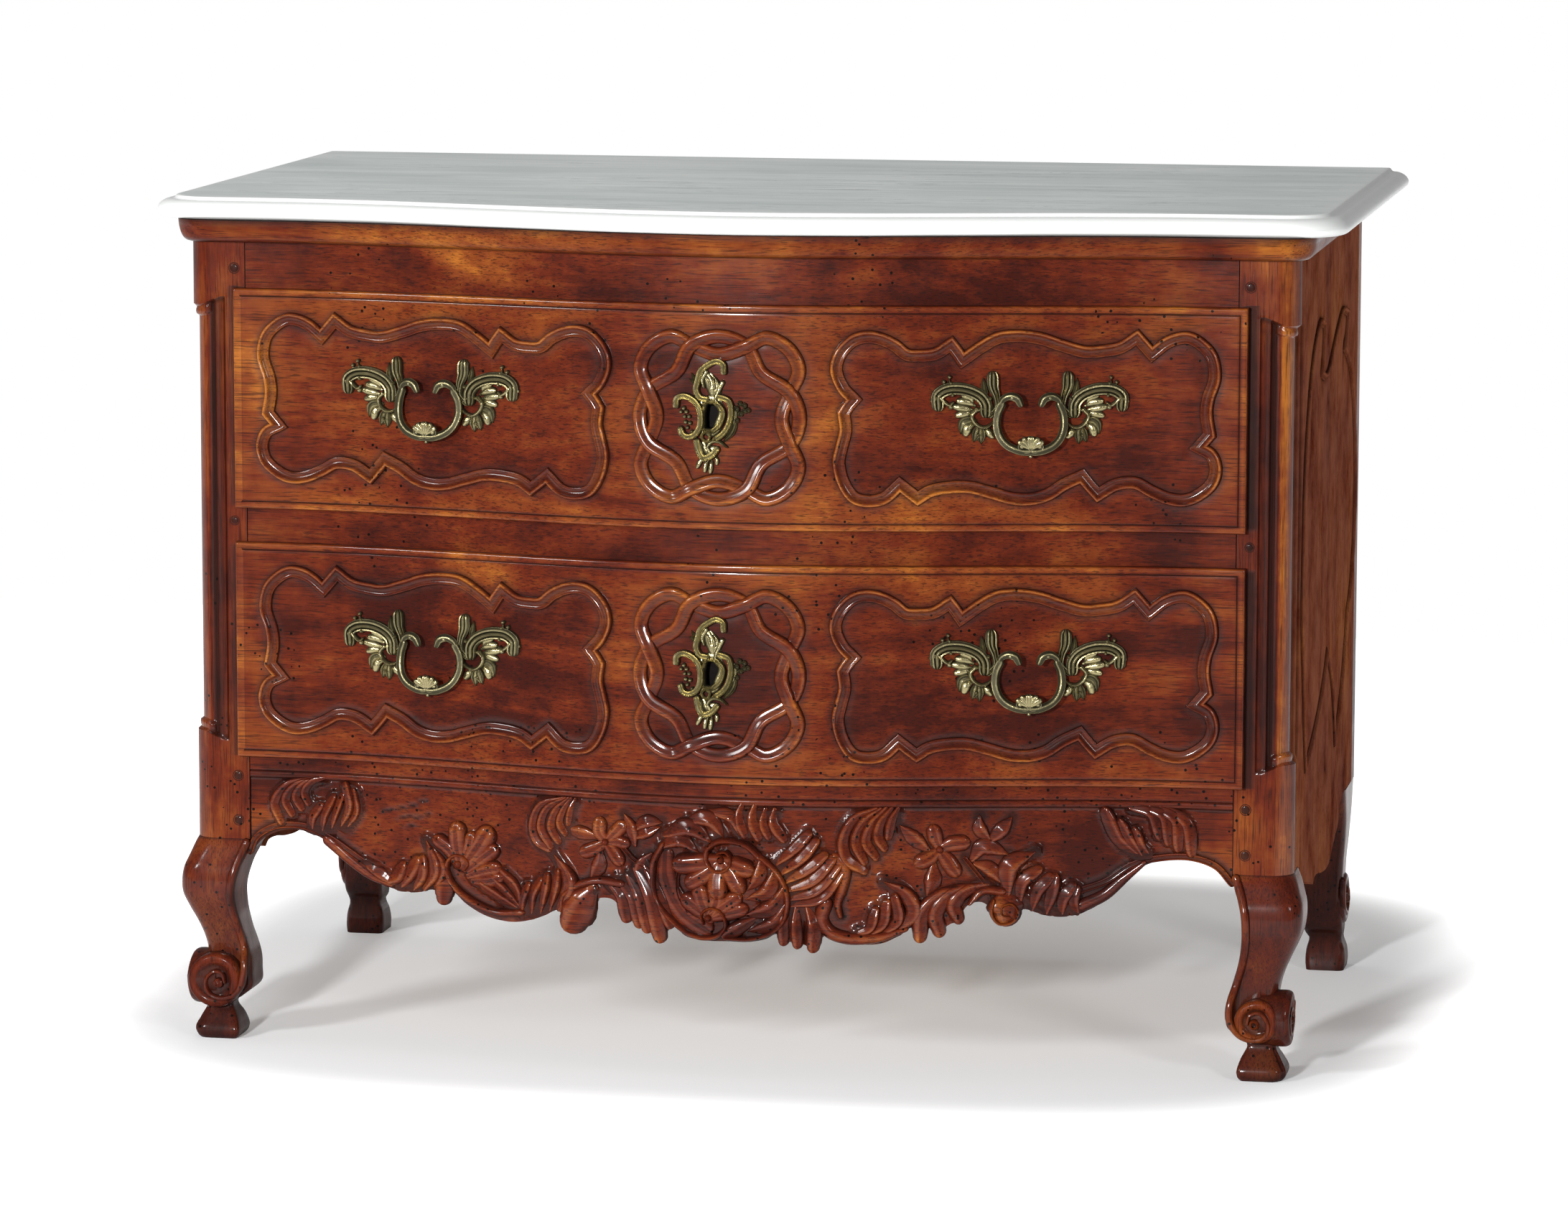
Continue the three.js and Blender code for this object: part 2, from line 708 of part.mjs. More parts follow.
// The escutcheon's outline as shares of its width and height from its middle
const escutcheonShares = [
  [0.02, -0.5], [0.12, -0.38], [0.1, -0.3], [0.3, -0.22], [0.4, -0.04], [0.5, 0.08], [0.36, 0.15],
  [0.24, 0.12], [0.2, 0.26], [0.1, 0.32], [0.14, 0.45], [0.02, 0.5], [-0.1, 0.42], [-0.06, 0.3],
  [-0.24, 0.2], [-0.5, 0.1], [-0.44, -0.02], [-0.28, -0.08], [-0.4, -0.2], [-0.24, -0.3], [-0.08, -0.3],
  [-0.06, -0.42],
];

// A drawer is a group whose zero level is the lower edge of its front
function drawer(word, frontBottom, frontHeight) {
  const body = new THREE.Group();
  body.position.z = frontBottom;
  commode.add(body);
  const middle = frontHeight / 2;
  drawerFront(word, body, frontHeight);
  drawerBox(word, body);
  lock(word, body, openingTop(frontHeight) - tongueClearance);
  for (const [side, sideWord] of bothSides) {
    handle(`${word}_${sideWord}`, handleSeat(side, middle), body);
  }

  const outline = escutcheonShares.map(([x, z]) => [x * escutcheonWidth, z * escutcheonHeight]);
  const opening = keyholePoints(keyholeWidth, keyholeHeight);
  const plate = facing(outline, -escutcheonThickness, 0, [opening]);
  piece(`escutcheon_${word}`, plate, brass, body).position.set(0, -bowAt(0) - lipProud - seam, middle);
}

// A drawer front: a lipped board with a tongue behind it that fills the opening
function drawerFront(word, body, frontHeight) {
  const tongueBottom = openingBottom(0) + tongueClearance;
  const tongueTop = openingTop(frontHeight) - tongueClearance;
  const middle = frontHeight / 2;
  const lip = bowedBoard(halfOpening + lipSideOverlap, lipProud, -seam, 0, frontHeight);
  const tongueHalf = halfOpening - tongueClearance;
  const tongue = bowedBoard(tongueHalf, lipProud / 2, tongueThickness, tongueBottom, tongueTop);
  const keyhole = facing(
    keyholePoints(keyholeWidth, keyholeHeight),
    -frontBow - lipProud - overrun,
    tongueThickness,
  ).translate(0, 0, middle);
  const seats = bothSides.map(([side]) => handleSeat(side, middle));
  const holes = seats.flatMap((seat) => [studHole(seat, 1), studHole(seat, -1)]);
  piece(`drawer_${word}_front`, cut(join(lip, tongue), keyhole, ...holes), walnut, body);
}

// The two sides, the bottom and the back of a drawer
function drawerBox(word, body) {
  const sideOuter = halfOpening - drawerSideClearance;
  const sideInner = sideOuter - drawerSideThickness;
  const boxFront = tongueThickness + seam;
  const bottomLevel = openingBottom(0) + seam;
  const sideTop = bottomLevel + drawerSideHeight;
  for (const [side, sideWord] of bothSides) {
    const board = block(side * sideInner, side * sideOuter, boxFront, drawerReach, bottomLevel, sideTop);
    piece(`drawer_${word}_${sideWord}_side`, board, plainWood, body);
  }
  const insideHalf = sideInner - seam;
  const floorBottom = bottomLevel + drawerBottomRise;
  const floorTop = floorBottom + drawerBottomThickness;
  const floorFront = bowLine(insideHalf, -boxFront);
  const floor = [...floorFront, [insideHalf, drawerReach], [-insideHalf, drawerReach]];
  piece(`drawer_${word}_bottom`, upright(floor, floorBottom, floorTop), plainWood, body);
  const backFront = drawerReach - drawerSideThickness;
  const backTop = sideTop - drawerBackDrop;
  const backBoard = block(-insideHalf, insideHalf, backFront, drawerReach, floorTop + seam, backTop);
  piece(`drawer_${word}_back`, backBoard, plainWood, body);
}

// A lock: a case open at its back, and the bolt that slides up in it
function lock(word, body, top) {
  const slotHalf = boltWidth / 2 + boltClearance;
  const slotFront = lockBack() - boltDepth - boltClearance;
  const slotBottom = top - boltLength - boltClearance;
  const box = block(-lockWidth / 2, lockWidth / 2, lockFront(), lockBack(), top - lockHeight, top);
  const slot = block(-slotHalf, slotHalf, slotFront, lockBack() + overrun, slotBottom, top + overrun);
  piece(`lock_case_${word}`, cut(box, slot), iron, body);
  const boltFront = lockBack() - boltDepth;
  const bolt = block(-boltWidth / 2, boltWidth / 2, boltFront, lockBack(), top - boltLength, top);
  piece(`lock_bolt_${word}`, bolt, iron, body);
}

for (const [side, word] of bothSides) {
  frontStile(side, word);
  rearStile(side, word);
  sideBoard(side, word);
  corniceSide(side, word);
}
rails();
backAndTop();
runners("upper", upperFrontBottom);
runners("lower", lowerFrontBottom);
drawer("upper", upperFrontBottom, upperFrontHeight);
drawer("lower", lowerFrontBottom, lowerFrontHeight);
corniceFront();
marbleTop();

// The origin goes under the middle of the marble, which is the outermost piece to the front and back
const foremost = marbleBow + marbleFrontReach;
commode.position.y = (foremost - carcassDepth - marbleBackReach) / 2;

export default commode;
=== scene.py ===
"""Dresses the commode's solids: carved walnut, cast brass, marble and the studio round it."""

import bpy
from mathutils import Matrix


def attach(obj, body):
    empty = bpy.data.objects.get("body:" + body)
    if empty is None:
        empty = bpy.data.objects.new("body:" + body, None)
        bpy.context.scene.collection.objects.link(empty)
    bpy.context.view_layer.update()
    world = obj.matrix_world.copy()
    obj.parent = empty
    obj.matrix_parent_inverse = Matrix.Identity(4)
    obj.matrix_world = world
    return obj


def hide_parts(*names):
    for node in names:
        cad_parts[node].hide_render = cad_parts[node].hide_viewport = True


bl_info = {
    "name": "Carved walnut commode",
    "version": (1, 0, 0),
    "blender": (4, 5, 0),
    "location": "3D View > Sidebar > Commode",
    "description": "Makes the carved fronts, legs, marble and brass of a bowed commode chest",
    "category": "Object",
}

import math

import bmesh
import bpy
import numpy as np
from bpy.props import FloatProperty, FloatVectorProperty, PointerProperty
from mathutils.kdtree import KDTree

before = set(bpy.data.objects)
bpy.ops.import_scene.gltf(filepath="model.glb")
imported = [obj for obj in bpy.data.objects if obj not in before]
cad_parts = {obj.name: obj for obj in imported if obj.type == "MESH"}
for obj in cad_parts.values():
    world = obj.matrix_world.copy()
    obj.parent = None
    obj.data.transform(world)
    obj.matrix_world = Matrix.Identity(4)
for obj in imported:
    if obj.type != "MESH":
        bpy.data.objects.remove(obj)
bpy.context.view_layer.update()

# Points are kept in millimetres from the stiles' front plane and turned into metres at the end
METRE = 0.001
STILE_FRONT = -308.5

# Sizes shared with the solids
HALF_WIDTH, HALF_OPENING, DEPTH = 612.0, 548.0, 655.0
BOW, BOW_HALF_RUN = 76.0, 530.0
MARBLE_BOW, MARBLE_REACH, MARBLE_HALF, MARBLE_BACK, MARBLE_CORNER = 84.0, 14.0, 660.0, 715.0, 70.0
LEG_HEIGHT, CARCASS_TOP, MARBLE_BOTTOM, MARBLE_TOP = 228.0, 891.0, 916.0, 940.0
LOWER_BOTTOM, LOWER_TOP, UPPER_BOTTOM, UPPER_TOP = 322.0, 562.0, 599.0, 842.0
LIP_PROUD, LIP_HALF, LIP_OVERLAP, TONGUE = 12.0, 559.0, 10.0, 14.0
STILE_WIDTH, CORNER_RADIUS, SEAM, JOINT = 64.0, 24.0, 0.3, 0.8
DRAWER_MIDDLES = {"upper": 720.5, "lower": 442.0}
HANDLE_ACROSS, HANDLE_SPREAD, ESCUTCHEON_ACROSS = 329.0, 0.985, -2.6
BOTH_SIDES = ((1, "right"), (-1, "left"))
FORWARD, UP, DOWN = (0, -1, 0), (0, 0, 1), (0, 0, -1)


def size_of(name):
    """A size from the panel, in millimetres"""
    return getattr(bpy.context.scene.commode_sizes, name) / METRE


# Smooth lines and the surfaces that they lie on


def smooth_line(knots, step, closed=False):
    """Points at about one step along the smooth line through the knots; further columns follow along"""
    knots = np.asarray(knots, float)
    if closed:
        knots = np.vstack([knots[-1:], knots, knots[:2]])
    else:
        knots = np.vstack([2 * knots[0] - knots[1], knots, 2 * knots[-1] - knots[-2]])
    pieces = []
    for before, start, end, after in zip(knots, knots[1:], knots[2:], knots[3:]):
        spans = ((before, start), (start, end), (end, after))
        gaps = [max(np.hypot(*(b - a)[:2]), 1e-6) ** 0.5 for a, b in spans]
        leaving = end - start + gaps[1] * ((start - before) / gaps[0] - (end - before) / (gaps[0] + gaps[1]))
        arriving = end - start + gaps[1] * ((after - end) / gaps[2] - (after - start) / (gaps[1] + gaps[2]))
        count = max(2, math.ceil(gaps[1] ** 2 / step))
        t = np.linspace(0, 1, count, endpoint=False)[:, None]
        cubic = 2 * (start - end) + leaving + arriving
        square = -3 * (start - end) - 2 * leaving - arriving
        pieces.append(cubic * t**3 + square * t**2 + leaving * t + start)
    if not closed:
        pieces.append(knots[-2][None])
    return np.vstack(pieces)


def beside(travel):
    """Unit steps to the left of each direction of travel"""
    travel = travel / np.maximum(np.linalg.norm(travel, axis=1, keepdims=True), 1e-9)
    return np.stack([-travel[:, 1], travel[:, 0]], axis=1)


def even(low, high, step):
    """Numbers from low to high, about one step apart"""
    return np.linspace(low, high, max(2, round(abs(high - low) / step) + 1))


def at_level(outline, level, side=1):
    """An outline, across and back, as points at a level; side -1 turns it over"""
    return np.column_stack([side * outline[:, 0], outline[:, 1], 0 * outline[:, 0] + level])


def eased(table, heights):
    """The first column of a table of (value, height), read smoothly at the heights"""
    line = smooth_line(table, 0.01)
    line = line[np.argsort(line[:, 1])]
    return np.interp(heights, line[:, 1], line[:, 0])


def bow_depth(x, bow=BOW):
    """How far the bow stands in front of the stiles at a place across"""
    share = np.clip(np.abs(x) / BOW_HALF_RUN, 0, 1)
    return bow / 2 * (1 + np.cos(np.pi * share))


def on_front(proud=0.0):
    """The bowed front: a place across, a height and a lift off the face"""

    def place(u, v, lift):
        share = np.clip(np.abs(u) / BOW_HALF_RUN, 0, 1)
        slope = -np.sign(u) * BOW * np.pi / 2 / BOW_HALF_RUN * np.sin(np.pi * share)
        length = np.sqrt(1 + slope**2)
        return np.stack([u - lift * slope / length, -bow_depth(u) - proud - lift / length, v + 0 * u], axis=-1)

    return place


def on_side(side):
    """An end of the carcass: a place along it, a height and a lift off the face"""
    return lambda u, v, lift: np.stack([side * (HALF_WIDTH + lift), u, v + 0 * u], axis=-1)


def on_plane(origin, across, upward, outward):
    """A flat face with its own origin and directions"""
    origin, ways = np.array(origin, float), np.array([across, upward, outward], float)
    return lambda u, v, lift: origin + np.stack(np.broadcast_arrays(u, v, lift), axis=-1) @ ways


def centred(surface, across, level, way=1.0):
    """The surface measured from a place on it; a way below 0 turns it over"""
    return lambda u, v, lift: surface(across + way * u, level + v, lift)


def mirrored(half):
    """A cross section whose second half is the first one turned over"""
    return half + tuple((-across, *rest) for across, *rest in half[-2::-1])


# Cross sections: place across from -1 to 1, height as a share, and the grime and painted shade that sit there,
# darkest at the edges where a cut meets the ground; below 0 the wood or brass is rubbed bright
ROUND = mirrored(((-1, -0.3, 1), (-0.94, 0.25, 0.8), (-0.76, 0.64, 0.3), (-0.42, 0.92, -0.1), (0, 1, -0.3)))
LEAF = mirrored((
    (-1, -0.3, 1), (-0.92, 0.5, 0.4), (-0.72, 0.82, 0), (-0.45, 0.55, 0.55), (-0.16, 0.8, 0.1), (0, 0.95, 0),
))
PETAL = mirrored(((-1, -0.3, 1), (-0.92, 0.4, 0.6), (-0.66, 0.86, -0.1), (-0.3, 1, -0.3), (0, 0.9, 0.25)))
STRAP = (
    (-1, -0.3, 1), (-0.94, 0.55, 0.4), (-0.78, 0.95, 0), (-0.55, 0.95, 0), (-0.34, 0.6, 0.6), (0, 0.5, 0.7),
    (0.34, 0.58, 0.4), (0.6, 0.8, 0), (0.85, 0.75, 0.1), (0.95, 0.4, 0.5), (1, -0.3, 1),
)
RIBS = (
    (-1, -0.3, 1), (-0.95, 0.45, 0.5), (-0.8, 0.8, 0), (-0.62, 0.75, 0.1), (-0.48, 0.45, 1), (-0.34, 0.85, 0.1),
    (-0.12, 1, 0), (0.08, 0.9, 0.1), (0.22, 0.55, 1), (0.38, 0.85, 0.1), (0.6, 0.85, 0), (0.78, 0.6, 0.6),
    (0.9, 0.55, 0.2), (1, -0.3, 1),
)
# A round bar with five ridges
RIBBED_TUBE = tuple(
    (math.cos(a) * (1 + 0.09 * ridge), math.sin(a) * (1 + 0.09 * ridge), 0.5 - 0.5 * ridge)
    for a, ridge in ((a, math.cos(5 * a)) for a in np.linspace(0, 2 * math.pi, 21)[:-1])
)
FEATHER = (
    (-1, -0.3, 1), (-0.95, 0.3, 0.9), (-0.82, 0.72, 0.3), (-0.6, 0.97, -0.25), (-0.35, 1, -0.35), (0, 0.86, 0),
    (0.35, 0.7, 0.1), (0.6, 0.62, 0.2), (0.8, 0.5, 0.4), (0.93, 0.2, 0.9), (1, -0.3, 1),
)
# The band of the knot, in millimetres
KNOT_BAND = (
    (8.4, -1.6, 1), (8, 1.2, 0.8), (7.2, 3.8, 0.1), (6, 5.4, -0.2), (4.4, 6.2, -0.3), (2.6, 6.1, -0.05),
    (0.8, 5.4, 0.3), (-1.2, 4.5, 0.45), (-3, 3.9, 0.45), (-4.6, 3.7, 0.2), (-6, 3.4, 0), (-7, 2.2, 0.4),
    (-7.6, 0.6, 1), (-8.2, -1.6, 1),
)
CAST_BAND = (
    (-1, -0.3, 1), (-0.94, 0.5, 0.6), (-0.74, 1, -0.4), (-0.4, 0.8, -0.1), (0, 0.66, 0.25), (0.36, 0.8, -0.1),
    (0.72, 0.98, -0.3), (0.93, 0.5, 0.6), (1, -0.3, 1),
)
# The face of a scroll, in millimetres: radius, lift, and grime with painted shade in its sunk face
SCROLL_FACE = (
    (0, 0, 0.5), (9, 0, 0.6), (14, 0.1, 0.7), (17, 0.3, 0.85), (18.5, 0.9, 0.6), (20.5, 2.3, 0.1), (23, 3.3, 0),
    (25.5, 3.4, 0), (28, 2.5, 0), (29.8, 0.6, 0.1), (30.8, -2, 0.3), (31, -5, 0.6),
)
SCROLL_RIM = 3.8
# The frame moulding round a panel, in millimetres before it is raised: a bead outside, a cove and a thin fillet
FRAME_RISE = 1.15
FRAME_MOULDING = (
    (7.6, -1.6, 1), (7.2, 1.2, 0.9), (6.6, 3.4, 0.3), (5.8, 4.8, -0.35), (4.8, 5.2, -0.5), (3.8, 4.7, -0.3),
    (2.8, 3.7, 0.2), (2, 2.8, 0.5), (0.5, 2, 0.55), (-1.2, 1.5, 0.5), (-3, 1.5, 0.4), (-4.4, 2, 0.3),
    (-5.2, 2.5, 0.1), (-5.9, 2.3, 0.3), (-6.5, 1.2, 0.8), (-6.9, 0, 1), (-7.4, -1.6, 1),
)

# How wide and how high a carved stroke is along its length
WIDTHS = {
    "lobe": ((0, 0.4), (0.3, 0.8), (0.65, 1), (0.9, 0.95), (1, 0.8)),
    "leaf": ((0, 0.4), (0.3, 0.95), (0.55, 1), (0.8, 0.6), (1, 0.08)),
    "band": ((0, 1), (1, 1)),
    "taper": ((0, 1), (0.6, 0.85), (1, 0.45)),
    "flare": ((0, 0.45), (0.5, 0.6), (0.85, 1), (1, 0.95)),
    "petal": ((0, 0.7), (0.5, 1), (1, 1)),
}
HEIGHTS = {
    "lobe": ((0, 0.35), (0.4, 0.9), (0.8, 1), (1, 0.85)),
    "leaf": ((0, 0.5), (0.5, 1), (1, 0.4)),
    "band": ((0, 1), (1, 1)),
    "taper": ((0, 0.9), (1, 1)),
    "flare": ((0, 0.7), (0.6, 0.9), (1, 1)),
    "petal": ((0, 0.6), (1, 1)),
}
SECTIONS = {"lobe": ROUND, "leaf": LEAF, "band": STRAP, "taper": ROUND, "flare": RIBS, "petal": PETAL}


class Carving:
    """Gathers sheets of points into one mesh, with the grime and painted shade that sit in its hollows"""

    def __init__(self):
        self.points, self.faces, self.grime, self.reds, self.count = [], [], [], [], 0
        self.traces = []  # the middle lines of what was cut, for the grime and painted shade beside them

    def sheet(self, grid, grime=0.0, wrap=False, towards=None, red=0.0):
        """A sheet of points that faces one way, or outwards from its own middle; wrap closes its rows"""
        rows, columns = grid.shape[:2]
        index = self.count + np.arange(rows * columns).reshape(rows, columns)
        if wrap:
            index = np.hstack([index, index[:, :1]])
        quads = np.stack([index[:-1, :-1], index[:-1, 1:], index[1:, 1:], index[1:, :-1]], axis=-1).reshape(-1, 4)
        corners = grid.reshape(-1, 3)[quads - self.count]
        normals = np.cross(corners[:, 2] - corners[:, 0], corners[:, 3] - corners[:, 1])
        if towards is None:
            towards = corners.mean(axis=1) - grid.reshape(-1, 3).mean(axis=0)
        if (normals * np.asarray(towards)).sum() < 0:
            quads = quads[:, ::-1]
        self.points.append(grid.reshape(-1, 3))
        self.grime.append(np.broadcast_to(grime, (rows, columns)).reshape(-1))
        self.reds.append(np.broadcast_to(red, (rows, columns)).reshape(-1))
        self.faces.append(quads)
        self.count += rows * columns

    def stroke(
        self, place, knots, width, height, kind="lobe", section=None, base=0.0, towards=FORWARD, step=2.2,
        tube=False,
    ):
        """One cut of the chisel along the knots, with a rounded or pointed end; a third column lifts it"""
        section = np.asarray(section or SECTIONS[kind], float)
        line = smooth_line(knots, step)
        self.traces.append(line[:, :2])
        travel = np.gradient(line[:, :2], axis=0)
        travel /= np.maximum(np.linalg.norm(travel, axis=1, keepdims=True), 1e-9)
        run = np.concatenate([[0], np.cumsum(np.linalg.norm(np.diff(line[:, :2], axis=0), axis=1))])
        share = run / run[-1]
        half = width / 2 * np.interp(share, *np.array(WIDTHS[kind]).T)
        high = height * np.interp(share, *np.array(HEIGHTS[kind]).T)
        lift = base + (line[:, 2] if line.shape[1] > 2 else 0 * share)
        middle = line[:, :2]
        ends = []
        for end, way in ((0, -1), (-1, 1)):
            turn = np.linspace(0, math.pi / 2, 6)[1:]
            reach = min(half[end], width / 2)
            cap = (
                middle[end] + way * travel[end] * reach * np.sin(turn)[:, None],
                np.repeat(travel[end][None], 5, axis=0),
                half[end] * np.maximum(np.cos(turn), 0.02),
                high[end] * np.maximum(np.cos(turn), 0.02) ** 0.5,
                np.repeat(lift[end], 5),
            )
            ends.append(cap if way > 0 else tuple(a[::-1] for a in cap))
        rows = [np.concatenate(parts) for parts in zip(ends[0], (middle, travel, half, high, lift), ends[1])]
        middle, travel, half, high, lift = rows
        across = beside(travel)
        spread = half[:, None] * section[:, 0]
        u = middle[:, :1] + across[:, :1] * spread
        v = middle[:, 1:] + across[:, 1:] * spread
        grid = place(u, v, lift[:, None] + high[:, None] * section[:, 1])
        self.sheet(grid, section[:, 2], wrap=tube, towards=None if tube else towards)

    def closed_band(self, place, knots, section, towards=FORWARD, step=2.0):
        """A moulding that runs round and closes; a third column lifts or sinks it"""
        section = np.asarray(section, float)
        line = smooth_line(knots, step, closed=True)
        self.traces.append(line[:, :2])
        across = beside(np.roll(line[:, :2], -1, axis=0) - np.roll(line[:, :2], 1, axis=0))
        u = line[:, :1] + across[:, :1] * section[:, 0]
        v = line[:, 1:2] + across[:, 1:] * section[:, 0]
        lift = section[:, 1] + (line[:, 2:3] if line.shape[1] > 2 else 0)
        grid = place(u, v, lift)
        self.sheet(np.concatenate([grid, grid[:1]]), section[:, 2], towards=towards)

    def mitred_frame(self, place, runs, section, towards=FORWARD, step=2.2, reach=16.0):
        """A moulding round a panel, in smooth runs that meet at sharp mitred corners"""
        section = np.asarray(section, float)
        lines = [smooth_line(run, step) for run in runs]
        starts = [(line[0] - line[1]) / np.linalg.norm(line[0] - line[1]) for line in lines]
        ends = [(line[-1] - line[-2]) / np.linalg.norm(line[-1] - line[-2]) for line in lines]
        for i, line in enumerate(lines):
            stretch = np.linspace(0, reach, 6)[1:, None]
            full = np.vstack([line[0] + starts[i] * stretch[::-1], line, line[-1] + ends[i] * stretch])
            self.traces.append(line)
            points = full[:, None] + beside(np.gradient(full, axis=0))[:, None] * section[:, :1]
            following = starts[(i + 1) % len(lines)]
            for corner, outward, facing in ((line[0], starts[i], ends[i - 1]), (line[-1], ends[i], following)):
                cut = outward - facing
                cut /= max(np.linalg.norm(cut), 1e-9)
                over = (points - corner) @ cut
                near = np.linalg.norm(full - corner, axis=1)[:, None] < reach * 1.3
                back = np.where(near & (over > 0), over / max(outward @ cut, 0.2), 0)
                points = points - back[..., None] * outward
            grid = place(points[..., 0], points[..., 1], np.broadcast_to(section[:, 1], points.shape[:2]))
            self.sheet(grid, section[:, 2], towards=towards)

    def boss(self, place, middle, radius, height, base=0.0, towards=FORWARD, dimple=False, worn=0.0):
        """A round bead, berry or eye"""
        crown = ((0, 0.55), (0.3, 0.6), (0.55, 0.95)) if dimple else ((0, 1), (0.3, 0.96), (0.55, 0.85))
        profile = np.array([*crown, (0.8, 0.7), (0.95, 0.3), (1, -0.3)])
        turns = np.linspace(0, 2 * math.pi, 15)[:-1]
        u = middle[0] + radius * profile[:, :1] * np.cos(turns)
        v = middle[1] + radius * profile[:, :1] * np.sin(turns)
        lift = base + height * profile[:, 1:] + 0 * u
        # Grime and painted shade: a dimple's middle near-black, and the bead darker round its foot
        grime = np.array([1.6 if dimple else 0, 0.9 if dimple else 0, 0, 0.2, 0.7, 1])[:, None]
        self.sheet(place(u, v, lift), np.maximum(grime, worn), wrap=True, towards=towards)

    def block(self, place, u_line, v_low, v_high, lift_front, lift_back):
        """A closed board that follows a surface between two lifts"""
        u = np.asarray(u_line, float)[:, None]
        loop_v = np.array([v_low, v_high, v_high, v_low], float)
        loop_lift = np.array([lift_front, lift_front, lift_back, lift_back], float)
        grid = place(u + 0 * loop_v, loop_v + 0 * u, loop_lift + 0 * u)
        self.sheet(grid, wrap=True)
        for end in (0, -1):
            self.cap(grid[end], grid[end].mean(axis=0) - grid[len(grid) // 2].mean(axis=0))

    def cap(self, ring, towards, grime=0.0):
        """A face that closes a ring of points"""
        half = len(ring) // 2
        self.sheet(np.stack([ring[:half], ring[::-1][:half]]), grime, towards=towards)

    def leg(self, rings, grime):
        """A leg through rings from its top to the floor, closed at both ends"""
        self.sheet(np.stack(rings), grime[:, None], wrap=True)
        # Both end faces are painted dark: shade where they meet the stile and the floor
        self.cap(rings[0], UP, 0.9)
        self.cap(rings[-1], DOWN, 0.9)

    def distances(self, across, height):
        """How far each place on the face lies from the nearest cut"""
        traces = np.vstack(self.traces)
        tree = KDTree(len(traces))
        for i, (u, v) in enumerate(traces):
            tree.insert((u, 0, v), i)
        tree.balance()
        found = [tree.find((u, 0, v))[2] for u, v in zip(across.ravel(), height.ravel())]
        return np.reshape(found, across.shape)

    def volute(self, place, middle, radius, height, drop, towards, grime=0.0):
        """The end of a scroll: a sunk round face inside a thick rounded rim, and the drum behind it"""
        profile = np.array(SCROLL_FACE) * (radius / 31, height / 3.4, 1)
        profile = np.vstack([profile, (radius, -drop, 0.8)])
        turns = np.linspace(0, 2 * math.pi, 49)[:-1]
        u = middle[0] + profile[:, :1] * np.cos(turns)
        v = middle[1] + profile[:, :1] * np.sin(turns)
        # The sunk face and the drum are darkened: grime with painted shade
        darkening = np.clip(profile[:, 2:] + grime, 0, 1)
        self.sheet(place(u, v, profile[:, 1:2] + 0 * u), darkening, wrap=True, towards=towards)

    def piece(self, name, paint, replaced, body="carcass", crease=38, merge=False):
        """Turns what was gathered into an object that rides on a body in place of a node's solid"""
        mesh = bpy.data.meshes.new(name)
        points = (np.vstack(self.points) + (0, STILE_FRONT, 0)) * METRE
        mesh.from_pydata(points.tolist(), [], np.vstack(self.faces).tolist())
        for kind, values in (("grime", self.grime), ("red", self.reds)):
            layer = mesh.attributes.new(kind, "FLOAT", "POINT")
            layer.data.foreach_set("value", np.concatenate(values).astype(np.float32))
        if merge:
            work = bmesh.new()
            work.from_mesh(mesh)
            bmesh.ops.remove_doubles(work, verts=work.verts, dist=2e-6)
            bmesh.ops.dissolve_degenerate(work, edges=work.edges, dist=1e-7)
            work.to_mesh(mesh)
            work.free()
        mesh.polygons.foreach_set("use_smooth", [True] * len(mesh.polygons))
        mesh.set_sharp_from_angle(angle=math.radians(crease))
        mesh.materials.append(paint)
        made = bpy.data.objects.new(name, mesh)
        bpy.context.scene.collection.objects.link(made)
        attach(made, body)
        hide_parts(replaced)


# Shader expressions


class Wire:
    """A socket in a shader; + - * on it, or its other methods, add Math nodes"""

    def __init__(self, paint, socket):
        self.paint, self.socket = paint, socket

    def math(self, operation, *values, clamp=False):
        settings = {"operation": operation, "use_clamp": clamp}
        return self.paint.add("ShaderNodeMath", settings, dict(enumerate(values)))

    def __add__(self, other):
        return self.math("ADD", self, other)

    def __sub__(self, other):
        return self.math("SUBTRACT", self, other)

    def __mul__(self, other):
        return self.math("MULTIPLY", self, other)

    def __rsub__(self, other):
        return self.math("SUBTRACT", other, self)

    __radd__, __rmul__ = __add__, __mul__

    def clamped(self):
        return self.math("ADD", self, 0.0, clamp=True)

    def size(self):
        return self.math("ABSOLUTE", self)

    def below(self, limit):
        return self.math("LESS_THAN", self, limit)

    def above(self, limit):
        return self.math("GREATER_THAN", self, limit)

    def between(self, low, high):
        """0 at low and 1 at high, smooth in between"""
        settings = {"interpolation_type": "SMOOTHSTEP"}
        return self.paint.add("ShaderNodeMapRange", settings, {"Value": self, "From Min": low, "From Max": high})


